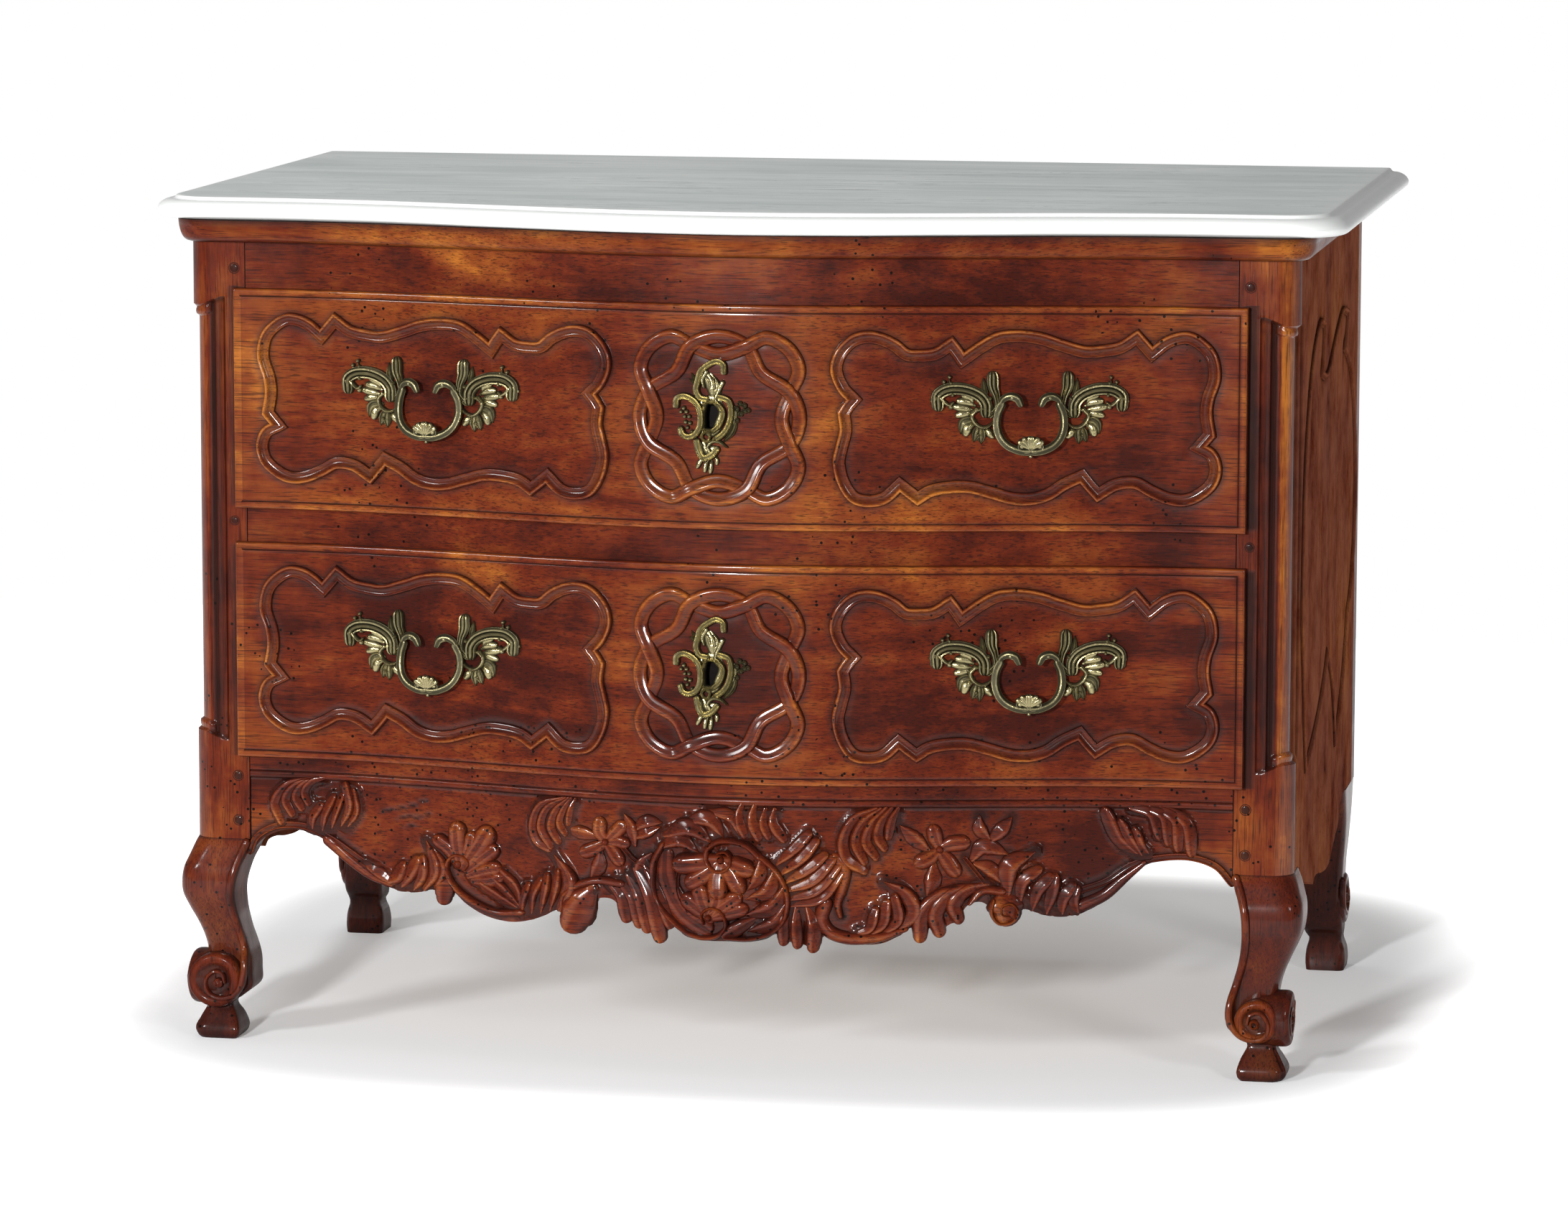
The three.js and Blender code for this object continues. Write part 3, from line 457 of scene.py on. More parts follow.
class Nodes:
    """The node tree of a material or a world, and the shader in it that the wires feed"""

    def __init__(self, owner, shader, **uniform):
        owner.use_nodes = True
        self.tree = owner.node_tree
        self.shader = next(node for node in self.tree.nodes if node.bl_idname == shader)
        for socket, value in uniform.items():
            self.shader.inputs[socket.replace("_", " ")].default_value = value

    def add(self, kind, settings=None, sockets=None, output=0):
        """A node of that type: its settings first, then the values or wires of its sockets"""
        node = self.tree.nodes.new(kind)
        for name, value in (settings or {}).items():
            if name == "stops":
                for stop, (place, colour) in zip(node.color_ramp.elements, value):
                    stop.position, stop.color = place, (*colour, 1)
                for place, colour in value[2:]:
                    node.color_ramp.elements.new(place).color = (*colour, 1)
            else:
                setattr(node, name, value)
        for name, value in (sockets or {}).items():
            if isinstance(value, Wire):
                self.tree.links.new(value.socket, node.inputs[name])
            else:
                node.inputs[name].default_value = value
        return Wire(self, node.outputs[output])

    def feed(self, **sockets):
        """Leads wires to the shader's own sockets"""
        for name, wire in sockets.items():
            self.tree.links.new(wire.socket, self.shader.inputs[name.replace("_", " ")])

    def place(self, scale=(1, 1, 1), shift=(0, 0, 0)):
        """Where a point lies in its object, stretched and moved"""
        here = self.add("ShaderNodeTexCoord", output="Object")
        return self.add("ShaderNodeMapping", {}, {"Vector": here, "Scale": scale, "Location": shift})

    def noise(self, place, scale=1.0, detail=3.0, roughness=0.5, distortion=0.0):
        sockets = {"Scale": scale, "Detail": detail, "Roughness": roughness, "Distortion": distortion}
        return self.add("ShaderNodeTexNoise", {}, {"Vector": place, **sockets})

    def axis(self, vector, name):
        return self.add("ShaderNodeSeparateXYZ", {}, {0: vector}, output=name)

    def attribute(self, name):
        return self.add("ShaderNodeAttribute", {"attribute_name": name}, output="Fac")

    def mix(self, share, first, second):
        colours = [c if isinstance(c, Wire) else (*c, 1) for c in (first, second)]
        sockets = {0: share, 6: colours[0], 7: colours[1]}
        return self.add("ShaderNodeMix", {"data_type": "RGBA"}, sockets, output=2)

    def ramp(self, value, stops):
        return self.add("ShaderNodeValToRGB", {"stops": stops}, {"Fac": value})

    def bump(self, height, depth, strength=1.0):
        return self.add("ShaderNodeBump", {}, {"Height": height, "Distance": depth, "Strength": strength})


class Paint(Nodes):
    """A material with one Principled shader"""

    def __init__(self, name, **uniform):
        self.material = bpy.data.materials.new(name)
        super().__init__(self.material, "ShaderNodeBsdfPrincipled", **uniform)


# How closely the grain and the figure are packed along each axis, by the way the board runs
GRAIN = {"across": (9, 240, 240), "upright": (240, 240, 9), "deep": (240, 9, 240)}
FIGURE = {"across": (1.6, 9, 9), "upright": (9, 9, 1.6), "deep": (9, 1.6, 9)}


def walnut(name, run, tone=0.0, gloss=1.0):
    """Old waxed walnut: red and golden figure, worm holes, grime and painted shade in the hollows and gold where
    it is rubbed
    """
    finish = bpy.context.scene.commode_finish
    wax, shine = finish.wax * gloss, finish.shine * gloss
    paint = Paint(name, Coat_Weight=wax, Coat_Roughness=0.13, Specular_IOR_Level=shine)
    grime = paint.attribute("grime")
    rubbed = (0.0 - grime).clamped()
    # The figure, from dark red to gold, with the long streaks of the grain
    figure = paint.noise(paint.place(FIGURE[run]), 1.0, 6, 0.62, 1.8)
    cloud = paint.noise(paint.place(shift=(3, 1, 2)), 5.5, 5, 0.65)
    streak = paint.noise(paint.place(GRAIN[run]), 1.0, 6, 0.7, 0.4)
    fleck = paint.noise(paint.place(tuple(3 * a for a in GRAIN[run])), 1.0, 2, 0.5)
    blotch = paint.noise(paint.place(shift=(7, 5, 1)), 16, 5, 0.7)
    warmth = figure * 0.6 + cloud * 0.6 + blotch * 0.34 - 0.27 + (streak - 0.5) * 0.27 + rubbed * 0.3
    warmth = warmth - paint.attribute("red") * 0.09 + tone
    wood = paint.ramp(warmth, (
        (0.31, finish.wood_dark), (0.44, finish.wood_red), (0.58, finish.wood_brown), (0.74, finish.wood_gold),
    ))
    # Pores, then the grime and painted shade of the hollows, then the worm holes
    pores = (0.47 - fleck).between(0.0, 0.12)
    wood = paint.mix(pores * 0.6, wood, finish.wood_grime_and_shade)
    settled_grime_and_shade = (grime * (0.6 + 0.6 * blotch) + blotch.between(0.56, 0.78) * 0.3).clamped()
    wood = paint.mix(settled_grime_and_shade * 0.9, wood, finish.wood_grime_and_shade)
    cell = {"Vector": paint.place(), "Scale": 95.0, "Randomness": 1.0}
    worm = paint.add("ShaderNodeTexVoronoi", {}, cell, output="Distance")
    chance = paint.noise(paint.place(shift=(1, 9, 4)), 9, 2, 0.5)
    chance = (chance + paint.axis(paint.place(), "Z").below(0.32) * 0.16).above(0.57)
    hole = worm.below(0.15) * chance
    # Worm holes and the deepest hollows, such as the keyhole and dimpled eyes, are painted near-black: painted
    # shade inside them
    wood = paint.mix((hole + (grime - 1.0).clamped()).clamped(), wood, (0.003, 0.0015, 0.001))
    if gloss:
        paint.feed(Coat_Weight=finish.wax + (grime.size() * 2.5).clamped() * (1.0 - settled_grime_and_shade) * finish.wax * 9)
    else:
        # With the wax's reflection switched off, blotches of dusty bloom with a painted sheen
        wood = paint.mix((blotch * 1.6 - 0.42).clamped() * (1.0 - settled_grime_and_shade), wood, finish.wood_haze_and_sheen)
    paint.feed(Base_Color=wood)
    dull = paint.noise(paint.place(shift=(2, 2, 2)), 34, 3, 0.6)
    paint.feed(Roughness=(0.22 + dull * 0.3 + settled_grime_and_shade * 0.1).clamped())
    waves = paint.noise(paint.place(shift=(5, 5, 5)), 22, 2, 0.5)
    relief = streak * 0.12 + fleck * 0.05 + waves * 0.8 + dull * 0.25 - hole * 0.8
    paint.feed(Normal=paint.bump(relief, 0.0018, 0.6))
    return paint.material


def plain_wood(name, run):
    """The unfinished boards behind and inside, grey-brown with knots"""
    finish = bpy.context.scene.commode_finish
    paint = Paint(name, IOR=1.45)
    figure = paint.noise(paint.place(FIGURE[run]), 1.4, 5, 0.6, 1.2)
    streak = paint.noise(paint.place(GRAIN[run]), 1.0, 6, 0.7, 0.5)
    board = paint.ramp(figure * 0.6 + streak * 0.4, (
        (0.3, tuple(0.35 * c for c in finish.plain_wood)), (0.55, tuple(finish.plain_wood)),
        (0.7, tuple(1.3 * c for c in finish.plain_wood)),
    ))
    stain = paint.noise(paint.place(shift=(4, 4, 1)), 5, 4, 0.6).between(0.5, 0.75)
    paint.feed(Base_Color=paint.mix(stain * 0.5, board, (0.10, 0.055, 0.03)))
    paint.feed(Roughness=(0.62 + streak * 0.25).clamped())
    paint.feed(Normal=paint.bump(streak * 0.6 + figure * 0.4, 0.0012, 0.7))
    return paint.material


def aged_brass():
    """Cast brass, worn bright on its high parts and brown in its hollows"""
    finish = bpy.context.scene.commode_finish
    paint = Paint("aged_brass", IOR=1.5)
    grime = paint.attribute("grime")
    patch = paint.noise(paint.place(), 55, 4, 0.6)
    cast = paint.noise(paint.place(shift=(3, 3, 3)), 420, 3, 0.6)
    worn = (0.2 + grime * 1.5 + (patch - 0.45) * 1.3).clamped()
    paint.feed(Base_Color=paint.mix(worn, finish.brass, finish.brass_grime))
    paint.feed(Metallic=(1.0 - worn * 0.2).clamped())
    paint.feed(Roughness=(0.2 + worn * 0.3 + cast * 0.12).clamped())
    paint.feed(Normal=paint.bump(cast * 0.5 + patch * 0.5, 0.0010, 0.7))
    return paint.material


def dark_iron():
    """Old forged iron, brown with rust in patches"""
    paint = Paint("dark_iron", IOR=1.5)
    patch = paint.noise(paint.place(), 40, 5, 0.65)
    pits = paint.noise(paint.place(shift=(2, 1, 1)), 300, 3, 0.6)
    rust = patch.between(0.45, 0.65)
    paint.feed(Base_Color=paint.mix(rust, (0.06, 0.055, 0.05), (0.12, 0.05, 0.025)))
    paint.feed(Metallic=(1.0 - rust * 0.7).clamped())
    paint.feed(Roughness=(0.42 + rust * 0.3 + pits * 0.1).clamped())
    paint.feed(Normal=paint.bump(pits * 0.6 + patch * 0.4, 0.0006, 0.7))
    return paint.material


def veined_marble():
    """Cool pale marble with soft grey bands along the top and a whiter rubbed edge"""
    finish = bpy.context.scene.commode_finish
    paint = Paint("veined_marble", IOR=1.3)
    bands = paint.noise(paint.place((1.4, 11, 6)), 1.0, 7, 0.66, 1.2)
    cloud = paint.noise(paint.place(shift=(2, 5, 1)), 4.5, 4, 0.6)
    crystals = paint.noise(paint.place(), 260, 2, 0.5)
    drift = paint.noise(paint.place((2.5, 14, 6), (1, 2, 3)), 1.0, 7, 0.65, 1.6)
    vein = 1.0 - (drift - 0.5).size().between(0.0, 0.022)
    # On the slab this attribute holds only the mask of the moulded edge
    edge = paint.attribute("grime")
    stone = paint.mix((bands * 0.65 + cloud * 0.35).between(0.35, 0.66), finish.marble_grey, finish.marble_pale)
    stone = paint.mix(vein * cloud.between(0.42, 0.6) * 0.55, stone, (0.33, 0.36, 0.37))
    stone = paint.mix(edge * (0.75 + 0.25 * bands), stone, finish.marble_edge)
    spots = paint.noise(paint.place(shift=(6, 3, 1)), 38, 5, 0.7).between(0.66, 0.8)
    stone = paint.mix(spots * 0.35, stone, (0.36, 0.31, 0.22))
    paint.feed(Base_Color=stone)
    paint.feed(Roughness=(0.3 + crystals * 0.08 + cloud * 0.16).clamped())
    paint.feed(Normal=paint.bump(cloud * 0.7 + crystals * 0.3, 0.0006, 0.4))
    return paint.material


def shared(name, make, *values):
    """The material of that name, made the first time it is asked for"""
    return bpy.data.materials.get(name) or make(*values)


def fine_walnut(run, tone=0.0, gloss=1.0):
    """The walnut of a board that runs that way; tone makes it lighter, and gloss is its share of the wax"""
    name = f"walnut_{run}" + (f"_{round(100 * tone)}" if tone else "")
    return shared(name, walnut, name, run, tone, gloss)


def cast_brass():
    return shared("aged_brass", aged_brass)


# The studio


def sky(finish):
    """Soft light that is brighter above and behind, and white below the horizon for the far floor"""
    world = bpy.data.worlds.new("studio")
    bpy.context.scene.world = world
    light = Nodes(world, "ShaderNodeBackground", Color=(1, 1, 1, 1))
    heading = light.add("ShaderNodeTexCoord", output="Generated")
    back = (light.axis(heading, "Y") + 0.2).clamped()
    above = back * (finish.backdrop - finish.sky) + finish.sky
    risen = ((light.axis(heading, "Z") + 0.04) * (1 / 0.06)).clamped()
    light.feed(Strength=risen * (above - 1.0) + 1.0)


def floor(finish):
    """A white paper floor with painted light: it glows faintly near the commode and white farther out, which
    washes out the shadows there; and a dark cloth in front of it, glowing faintly too
    """
    paint = Paint("studio_floor", Roughness=0.9, Specular_IOR_Level=0.0, Emission_Strength=1.0)
    shadowed = paint.place((1.62, 1.7, 0), (0.03, -0.29, 0))
    wide, deep = paint.axis(shadowed, "X"), paint.axis(shadowed, "Y")
    reach = wide * wide * wide * wide + deep * deep * deep * deep
    shown = paint.axis(paint.place(), "Y").between(-1.9, -1.25)
    darkening = paint.noise(paint.place(), 0.6, 2, 0.5)
    paper = paint.mix(darkening * 0.3, (0.79, 0.80, 0.81), (0.75, 0.76, 0.77))
    # Painted light: the glow rises to white away from the commode and washes out the shadows that fall there
    glow = paint.mix(reach.between(1.25, 3.2), (finish.floor_glow,) * 3, (1.0, 1.0, 1.0))
    cloth = (0.12, 0.12, 0.12)
    paint.feed(Base_Color=paint.mix(shown, cloth, paper), Emission_Color=paint.mix(shown, cloth, glow))
    mesh = bpy.data.meshes.new("floor")
    mesh.from_pydata([(-14, -12, 0), (14, -12, 0), (14, 3, 0), (-14, 3, 0)], [], [(0, 1, 2, 3)])
    mesh.materials.append(paint.material)
    ground = bpy.data.objects.new("floor", mesh)
    bpy.context.scene.collection.objects.link(ground)


def lamps(finish):
    """Square lamps: name, place, what they aim at, width and power"""
    for name, place, aim, width, power in (
        ("key_light", (-3.2, -4.3, 2.5), (0, -0.2, 0.45), 0.8, finish.key_power),
        ("front_light", (-0.75, -5.4, 1.45), (0, -0.2, 0.3), 0.36, finish.front_power),
        ("fill_light", (3.4, -3.6, 1.9), (0.2, -0.1, 0.4), 0.7, finish.fill_power),
        ("top_light", (-0.6, 0.2, 3.6), (0, 0, 0.5), 1.6, finish.top_power),
    ):
        data = bpy.data.lights.new(name, "AREA")
        data.size, data.energy = width, power
        lamp = bpy.data.objects.new(name, data)
        way = [b - a for a, b in zip(place, aim)]
        lamp.location = place
        lamp.rotation_euler = (math.atan2(math.hypot(*way[:2]), -way[2]), 0, math.atan2(-way[0], way[1]))
        bpy.context.scene.collection.objects.link(lamp)


def viewpoint(finish):
    """The camera, placed and turned as it was solved from the photograph"""
    lens = bpy.data.cameras.new("camera")
    lens.sensor_width, lens.lens, lens.clip_end = 36.0, finish.lens, 60.0
    camera = bpy.data.objects.new("camera", lens)
    camera.location = (1.3587, -7.1390, 1.4992)
    camera.rotation_euler = (math.pi / 2 - 0.1429, -0.0019, 0.1889)
    bpy.context.scene.collection.objects.link(camera)
    bpy.context.scene.camera = camera


# Marble top and cornice

# How far in the slab's moulded edge reaches, and how far in both faces keep its outline
EDGE_REACH, FACE_RING = 24.0, 60.0
# The moulded edge from below: share of the thickness, and share of its reach
MARBLE_EDGE = (
    (0, 0.42), (0.04, 0.26), (0.11, 0.12), (0.2, 0.04), (0.33, 0), (0.46, 0.03), (0.58, 0.11), (0.69, 0.24),
    (0.77, 0.40), (0.815, 0.56), (0.83, 0.72), (0.86, 0.80), (0.93, 0.86), (0.98, 0.90), (1, 0.98),
)


def arc(x, y, radius, first, last, count=14):
    """Points on an arc, between two turns"""
    turn = np.linspace(first, last, count) * 2 * math.pi
    return np.stack([x + radius * np.cos(turn), y + radius * np.sin(turn)], axis=1)


def bow_line(half, proud, bow=BOW, count=120):
    """Points along the bow, that far in front of it"""
    x = np.linspace(-half, half, count)
    return np.stack([x, -bow_depth(x, bow) - proud], axis=1)


def marble_ring(inset):
    """The slab's outline, that far inside its widest line"""
    half, radius, proud = MARBLE_HALF - inset, MARBLE_CORNER - inset, MARBLE_REACH - inset
    middle = (half - radius, radius - proud)
    return np.vstack([
        bow_line(half - radius, proud, MARBLE_BOW),
        arc(*middle, radius, -0.25, 0)[1:],
        np.stack([np.full(24, half), np.linspace(radius - proud, MARBLE_BACK, 25)[1:]], axis=1),
        np.stack([np.full(24, -half), np.linspace(MARBLE_BACK, radius - proud, 25)[:-1]], axis=1),
        arc(-middle[0], middle[1], radius, 0.5, 0.75)[:-1],
    ])


def marble_slab():
    """The slab in one sheet, from its underside round the moulded edge to its top"""
    carving = Carving()
    thick = MARBLE_TOP - MARBLE_BOTTOM - SEAM
    edge = smooth_line([(inset * EDGE_REACH, rise * thick) for rise, inset in MARBLE_EDGE], 1.2)
    rings = []
    for inset, rise in ((FACE_RING, 0.0), *edge, (26.5, thick), (FACE_RING, thick)):
        ring = marble_ring(inset)
        chip = 0.5 * np.sin(ring[:, 0] * 0.031 + 1) * np.sin(ring[:, 0] * 0.013 + ring[:, 1] * 0.02)
        ring = ring + np.stack([0 * chip, chip * (0 < inset < FACE_RING) * (ring[:, 1] < 500)], axis=1)
        rings.append(at_level(ring, MARBLE_BOTTOM + SEAM + rise))
    # A small ring in the middle of the top
    rings.append(rings[-1] * (0.2, 0.2, 1) + (0, 250, 0))
    grid = np.stack(rings)
    rubbed = np.array([1.0] * (len(rings) - 3) + [0.35, 0, 0])[:, None]
    carving.sheet(grid, rubbed, wrap=True)
    carving.cap(grid[0], DOWN)
    carving.cap(grid[-1], UP)
    carving.piece("marble", shared("veined_marble", veined_marble), "marble_top", merge=True)


CORNICE_RETURN = 44.0
# The cornice's hollow from below: how far it stands proud, and its rise
CORNICE = (
    (-2, 0), (2.2, 0), (3.2, 0.1), (7, 1.1), (9.6, 2.9), (11.6, 5.6), (13.2, 9), (14.4, 12.8), (15.3, 17),
    (15.8, 21), (16, 24.7),
)


def cornice():
    """The front length, which turns both corners, and the two returns along the sides"""
    wood = fine_walnut("across")
    profile = np.asarray(CORNICE, float)
    rings = []
    for proud, rise in profile:
        edge, middle = HALF_WIDTH + proud, HALF_WIDTH - CORNER_RADIUS
        radius = CORNER_RADIUS + proud
        outline = np.vstack([
            [(-edge, STILE_WIDTH), (-edge, CORNICE_RETURN)],
            arc(-middle, CORNER_RADIUS, radius, 0.5, 0.75),
            bow_line(middle, proud)[1:-1],
            arc(middle, CORNER_RADIUS, radius, 0.75, 1),
            [(edge, CORNICE_RETURN), (edge, STILE_WIDTH)],
        ])
        rings.append(at_level(outline, CARCASS_TOP + SEAM + rise))
    half = HALF_WIDTH - CORNER_RADIUS
    inner = np.vstack([
        [(-half, STILE_WIDTH), (-half, CORNICE_RETURN)],
        bow_line(half, -CORNER_RADIUS, count=146),
        [(half, CORNICE_RETURN), (half, STILE_WIDTH)],
    ])
    share, whole = np.linspace(0, 1, len(rings[0])), np.linspace(0, 1, len(inner))
    inner = np.stack([np.interp(share, whole, column) for column in inner.T], axis=1)
    for rise in (CORNICE[-1][1], 0):
        rings.append(at_level(inner, CARCASS_TOP + SEAM + rise))
    carving = Carving()
    grid = np.stack(rings, axis=1)
    # Painted shade at the cornice's tucked-in foot, beside its dark joint to the rail, and under the marble's
    # overhang
    darkening = np.array([0.9, 0.9, 0.8, 0.6, 0.25, 0.05, 0, 0, 0.1, 0.5, 0.8, 1, 1])
    carving.sheet(grid, darkening, wrap=True)
    carving.piece("cornice_mould_front", wood, "cornice_front")
    for side, word in BOTH_SIDES:
        carving = Carving()
        y = even(STILE_WIDTH + SEAM, DEPTH, 40)
        loop = np.vstack([profile, [(-CORNER_RADIUS, CORNICE[-1][1]), (-CORNER_RADIUS, 0)]])
        out, up = side * (HALF_WIDTH + loop[:, 0]), CARCASS_TOP + SEAM + loop[:, 1]
        grid = np.stack([np.column_stack([out, np.full(len(loop), back), up]) for back in y])
        carving.sheet(grid, darkening, wrap=True)
        carving.cap(grid[-1], (0, 1, 0))
        carving.piece(f"cornice_mould_{word}", fine_walnut("deep"), f"cornice_{word}")


# Corner stiles and legs

# The front of a stile: place across and depth of the flutes
FRONT_CUTS = (
    (548, 0), (549, 0), (552, 0), (560, 0), (566, 0), (570.4, 0), (571, 1), (571.7, 2), (572.4, 1.1),
    (573, 0.5), (575, 1.2), (577.5, 1.9), (580, 1.8), (581.6, 1.2), (582.3, 3.4), (583.1, 5.6), (584, 6.4),
    (585, 6.6), (586, 6.2), (586.8, 6), (588, 6.5),
)
# The quarter column at the corner: share of the turn and how far it lies inside the corner's radius
COLUMN_EDGE = (
    (0, -6.5), (0.04, -6.2), (0.1, -6), (0.2, -5.9), (0.35, -5.9), (0.5, -5.9), (0.7, -6), (0.86, -6.2),
    (0.93, -6.4), (0.97, -6.8), (1, -7.5),
)
COLUMN_BOTTOM, COLUMN_TOP = 340.0, 830.0
# Levels on a stile where the painted shade beside the drawers ends and begins again
MIDDLE_RAIL = (556, 561, 600, 605)
# Outlines of the legs: share of the stile's width, from its outer face, and share of the leg's height
LEG_OUTER = (
    (0, 1), (-0.05, 0.97), (-0.14, 0.9), (-0.2, 0.85), (-0.22, 0.79), (-0.2, 0.73), (-0.11, 0.66), (0.02, 0.58),
    (0.13, 0.5), (0.19, 0.43), (0.22, 0.3), (0.2, 0.22), (0.2, 0.165), (0.09, 0.1), (0.0, 0.045), (0.01, 0),
)
LEG_INNER = (
    (0.82, 0), (0.83, 0.045), (0.775, 0.1), (0.67, 0.165), (0.86, 0.21), (1.03, 0.26), (1.03, 0.32),
    (1.01, 0.38), (0.94, 0.46), (0.85, 0.55), (0.79, 0.65), (0.78, 0.75), (0.86, 0.86), (0.97, 0.94), (1, 1),
)
# How far the legs lean to one side, at each height
LEG_LEAN = ((0, -5), (45, -5), (70, -6), (100, -3.5), (130, -2.4), (170, -2), (215, 0), (228, 0))
REAR_LEG_DEPTH = 100.0
# Outlines of the rear legs, back and front as shares of their depth
REAR_BACK = (
    (0, 1), (0.02, 0.8), (0.04, 0.62), (0, 0.5), (-0.1, 0.42), (-0.14, 0.34), (-0.1, 0.26), (-0.14, 0.18),
    (-0.21, 0.1), (-0.26, 0),
)
REAR_FRONT = (
    (0.25, 0), (0.22, 0.1), (0.24, 0.18), (0.36, 0.24), (0.44, 0.34), (0.46, 0.46), (0.52, 0.62), (0.66, 0.8),
    (0.86, 0.93), (1, 1),
)
REAR_OUTER = (
    (0, 1), (0.02, 0.86), (0.06, 0.7), (0.1, 0.58), (0.12, 0.45), (0.12, 0.3), (0.14, 0.2), (0.16, 0.165),
    (0.1, 0.1), (0.09, 0.04), (0.11, 0),
)
REAR_INNER = (
    (0.8, 0), (0.82, 0.05), (0.8, 0.11), (0.75, 0.165), (0.82, 0.2), (0.86, 0.3), (0.9, 0.5), (0.96, 0.76),
    (1, 1),
)
# The outline of a rear post, rebated for the side board and the back boards
REAR_POST = (
    (HALF_OPENING, 591), (590, 591), (590, 625), (HALF_WIDTH, 625),
    (HALF_WIDTH, DEPTH), (589.7, DEPTH), (589.7, 643), (HALF_OPENING, 643),
)
# The bead that runs down a front leg and winds into its scroll
LEG_BEAD = (
    (552, 224), (559, 206), (564.5, 187), (566.5, 167), (565, 147), (561, 126), (555.5, 105), (552, 90),
    (551, 77), (554, 63), (563, 51.5), (576, 47), (588.5, 50), (594.5, 60), (592, 71), (583.5, 77.5),
    (574.5, 74.5), (572, 66),
)
SCROLL_MIDDLE, SCROLL_EYE, SCROLL_PROUD = (585.0, 67.0), (579.5, 64.5), 1.5
HOOF_TOP = 44.0
# Pegs through the stiles: place across, height and share of the radius; then the ring round each, a dark joint
# with painted shade in it
PEGS = ((560, 863, 1), (562, 584, 0.84), (561, 299, 1), (561, 249, 1))
PEG_GAP, PEG_RING = 0.9, ((0.6, -0.2, 0.5), (0.4, 0.15, 1), (-0.4, 0.15, 1), (-0.6, -0.2, 0.5))
# How a scroll's rim winds in round its eye, after the first knots, which differ from leg to leg
WHORL = ((15.5, -12), (0, -16.5), (-13, -11), (-15.5, -2), (-11.6, 8.7), (-1, 12.6), (6.8, 7.8), (7, 1))


def side_scroll(carving, side, proud, middle, way, start, drum, grime=0.0):
    """The scroll on the outer face of a leg; way is 1 where its rim comes from behind and -1 from the front"""
    outward = on_plane((side * proud, 0, 0), (0, 1, 0), UP, (side, 0, 0))
    carving.volute(outward, middle, size_of("scroll_radius"), SCROLL_RIM, drum, (side, 0, 0), grime)
    eye = (middle[0] - 2 * way, middle[1] - 1)
    whorl = np.vstack([start, np.asarray(WHORL) * (way, 1)]) + eye
    carving.stroke(outward, whorl, 9, 5.5, "taper", ROUND, towards=(side, 0, 0), step=1.6)
    carving.boss(outward, eye, 6, 7, towards=(side, 0, 0), dimple=True)


def rounded_section(x0, x1, y0, y1, radii, turns=7, flat=4):
    """Points round a rectangle whose corners are rounded, from its front inner corner on"""
    corners = ((x0, y0, 1, 1, 0.5), (x1, y0, -1, 1, 0.75), (x1, y1, -1, -1, 0), (x0, y1, 1, -1, 0.25))
    rounds = [
        arc(x + a * r, y + b * r, r, turn, turn + 0.25, turns) for (x, y, a, b, turn), r in zip(corners, radii)
    ]
    points = []
    for this, following in zip(rounds, rounds[1:] + rounds[:1]):
        share = np.linspace(0, 1, flat + 2)[1:-1, None]
        points += [this, this[-1] + (following[0] - this[-1]) * share]
    return np.vstack(points)


def stile_section(fluted, ring):
    """The outline of a front stile at one level, from its inner edge round the corner to the back"""
    cuts = np.asarray(FRONT_CUTS, float)
    front = np.column_stack([cuts[:, 0], cuts[:, 1] * fluted])
    share, bulge = np.asarray(COLUMN_EDGE, float).T
    turn = (share - 1) * math.pi / 2
    radius = CORNER_RADIUS + bulge * fluted + ring * np.interp(share, [0, 0.1, 0.9, 1], [0.6, 1, 1, 0.3])
    middle = HALF_WIDTH - CORNER_RADIUS
    corner = np.column_stack([middle + radius * np.cos(turn), CORNER_RADIUS + radius * np.sin(turn)])
    rest = [(603, CORNER_RADIUS), (590, CORNER_RADIUS), (590, STILE_WIDTH), (HALF_OPENING, STILE_WIDTH)]
    return np.vstack([front[:-1], corner, rest])


def leg_post(carving, side):
    """The curved post of a front leg, down to its cleft hoof"""
    levels = np.unique(np.concatenate([even(LEG_HEIGHT, 46, 3.2), even(46, 0, 2.2)]))[::-1]
    outer, inner = eased(LEG_OUTER, levels / LEG_HEIGHT), eased(LEG_INNER, levels / LEG_HEIGHT)
    rings = []
    for level, out, into in zip(levels, outer, inner):
        far, near = HALF_WIDTH - out * STILE_WIDTH, HALF_WIDTH - into * STILE_WIDTH
        front, back = out * STILE_WIDTH, into * STILE_WIDTH
        corner = np.interp(level, [0, 20, 45, 100, 150, 200, 228], [15, 13, 7, 12, 17, 20, 24])
        ring = rounded_section(near, far, front, back, (5, corner, 6, 6))
        if level < HOOF_TOP:
            angle = np.arctan2(ring[:, 1] - (front + back) / 2, ring[:, 0] - (far + near) / 2)
            depth = np.interp(level, [0, 6, 36, HOOF_TOP], [2, 5, 5, 0])
            cleft = np.exp(-(((angle + 0.62) / 0.09) ** 2)) * depth
            ring = ring - cleft[:, None] * np.stack([np.cos(angle), np.sin(angle)], axis=1)
        under = np.interp(level, [0, 1.5, 4, 9], [0.15, 0.08, 0.03, 0])
        ring = ring + (ring.mean(axis=0) - ring) * under
        rings.append(at_level(ring, level, side))
    # Darker towards the floor, darkest at the hoof's collar, and dark at the top seam
    darkening = np.interp(levels, [0, 10, 34, HOOF_TOP, 52, 110, 226, 228], [0.95, 0.6, 0.6, 1, 0.75, 0.4, 0.08, 0.9])
    carving.leg(rings, darkening)


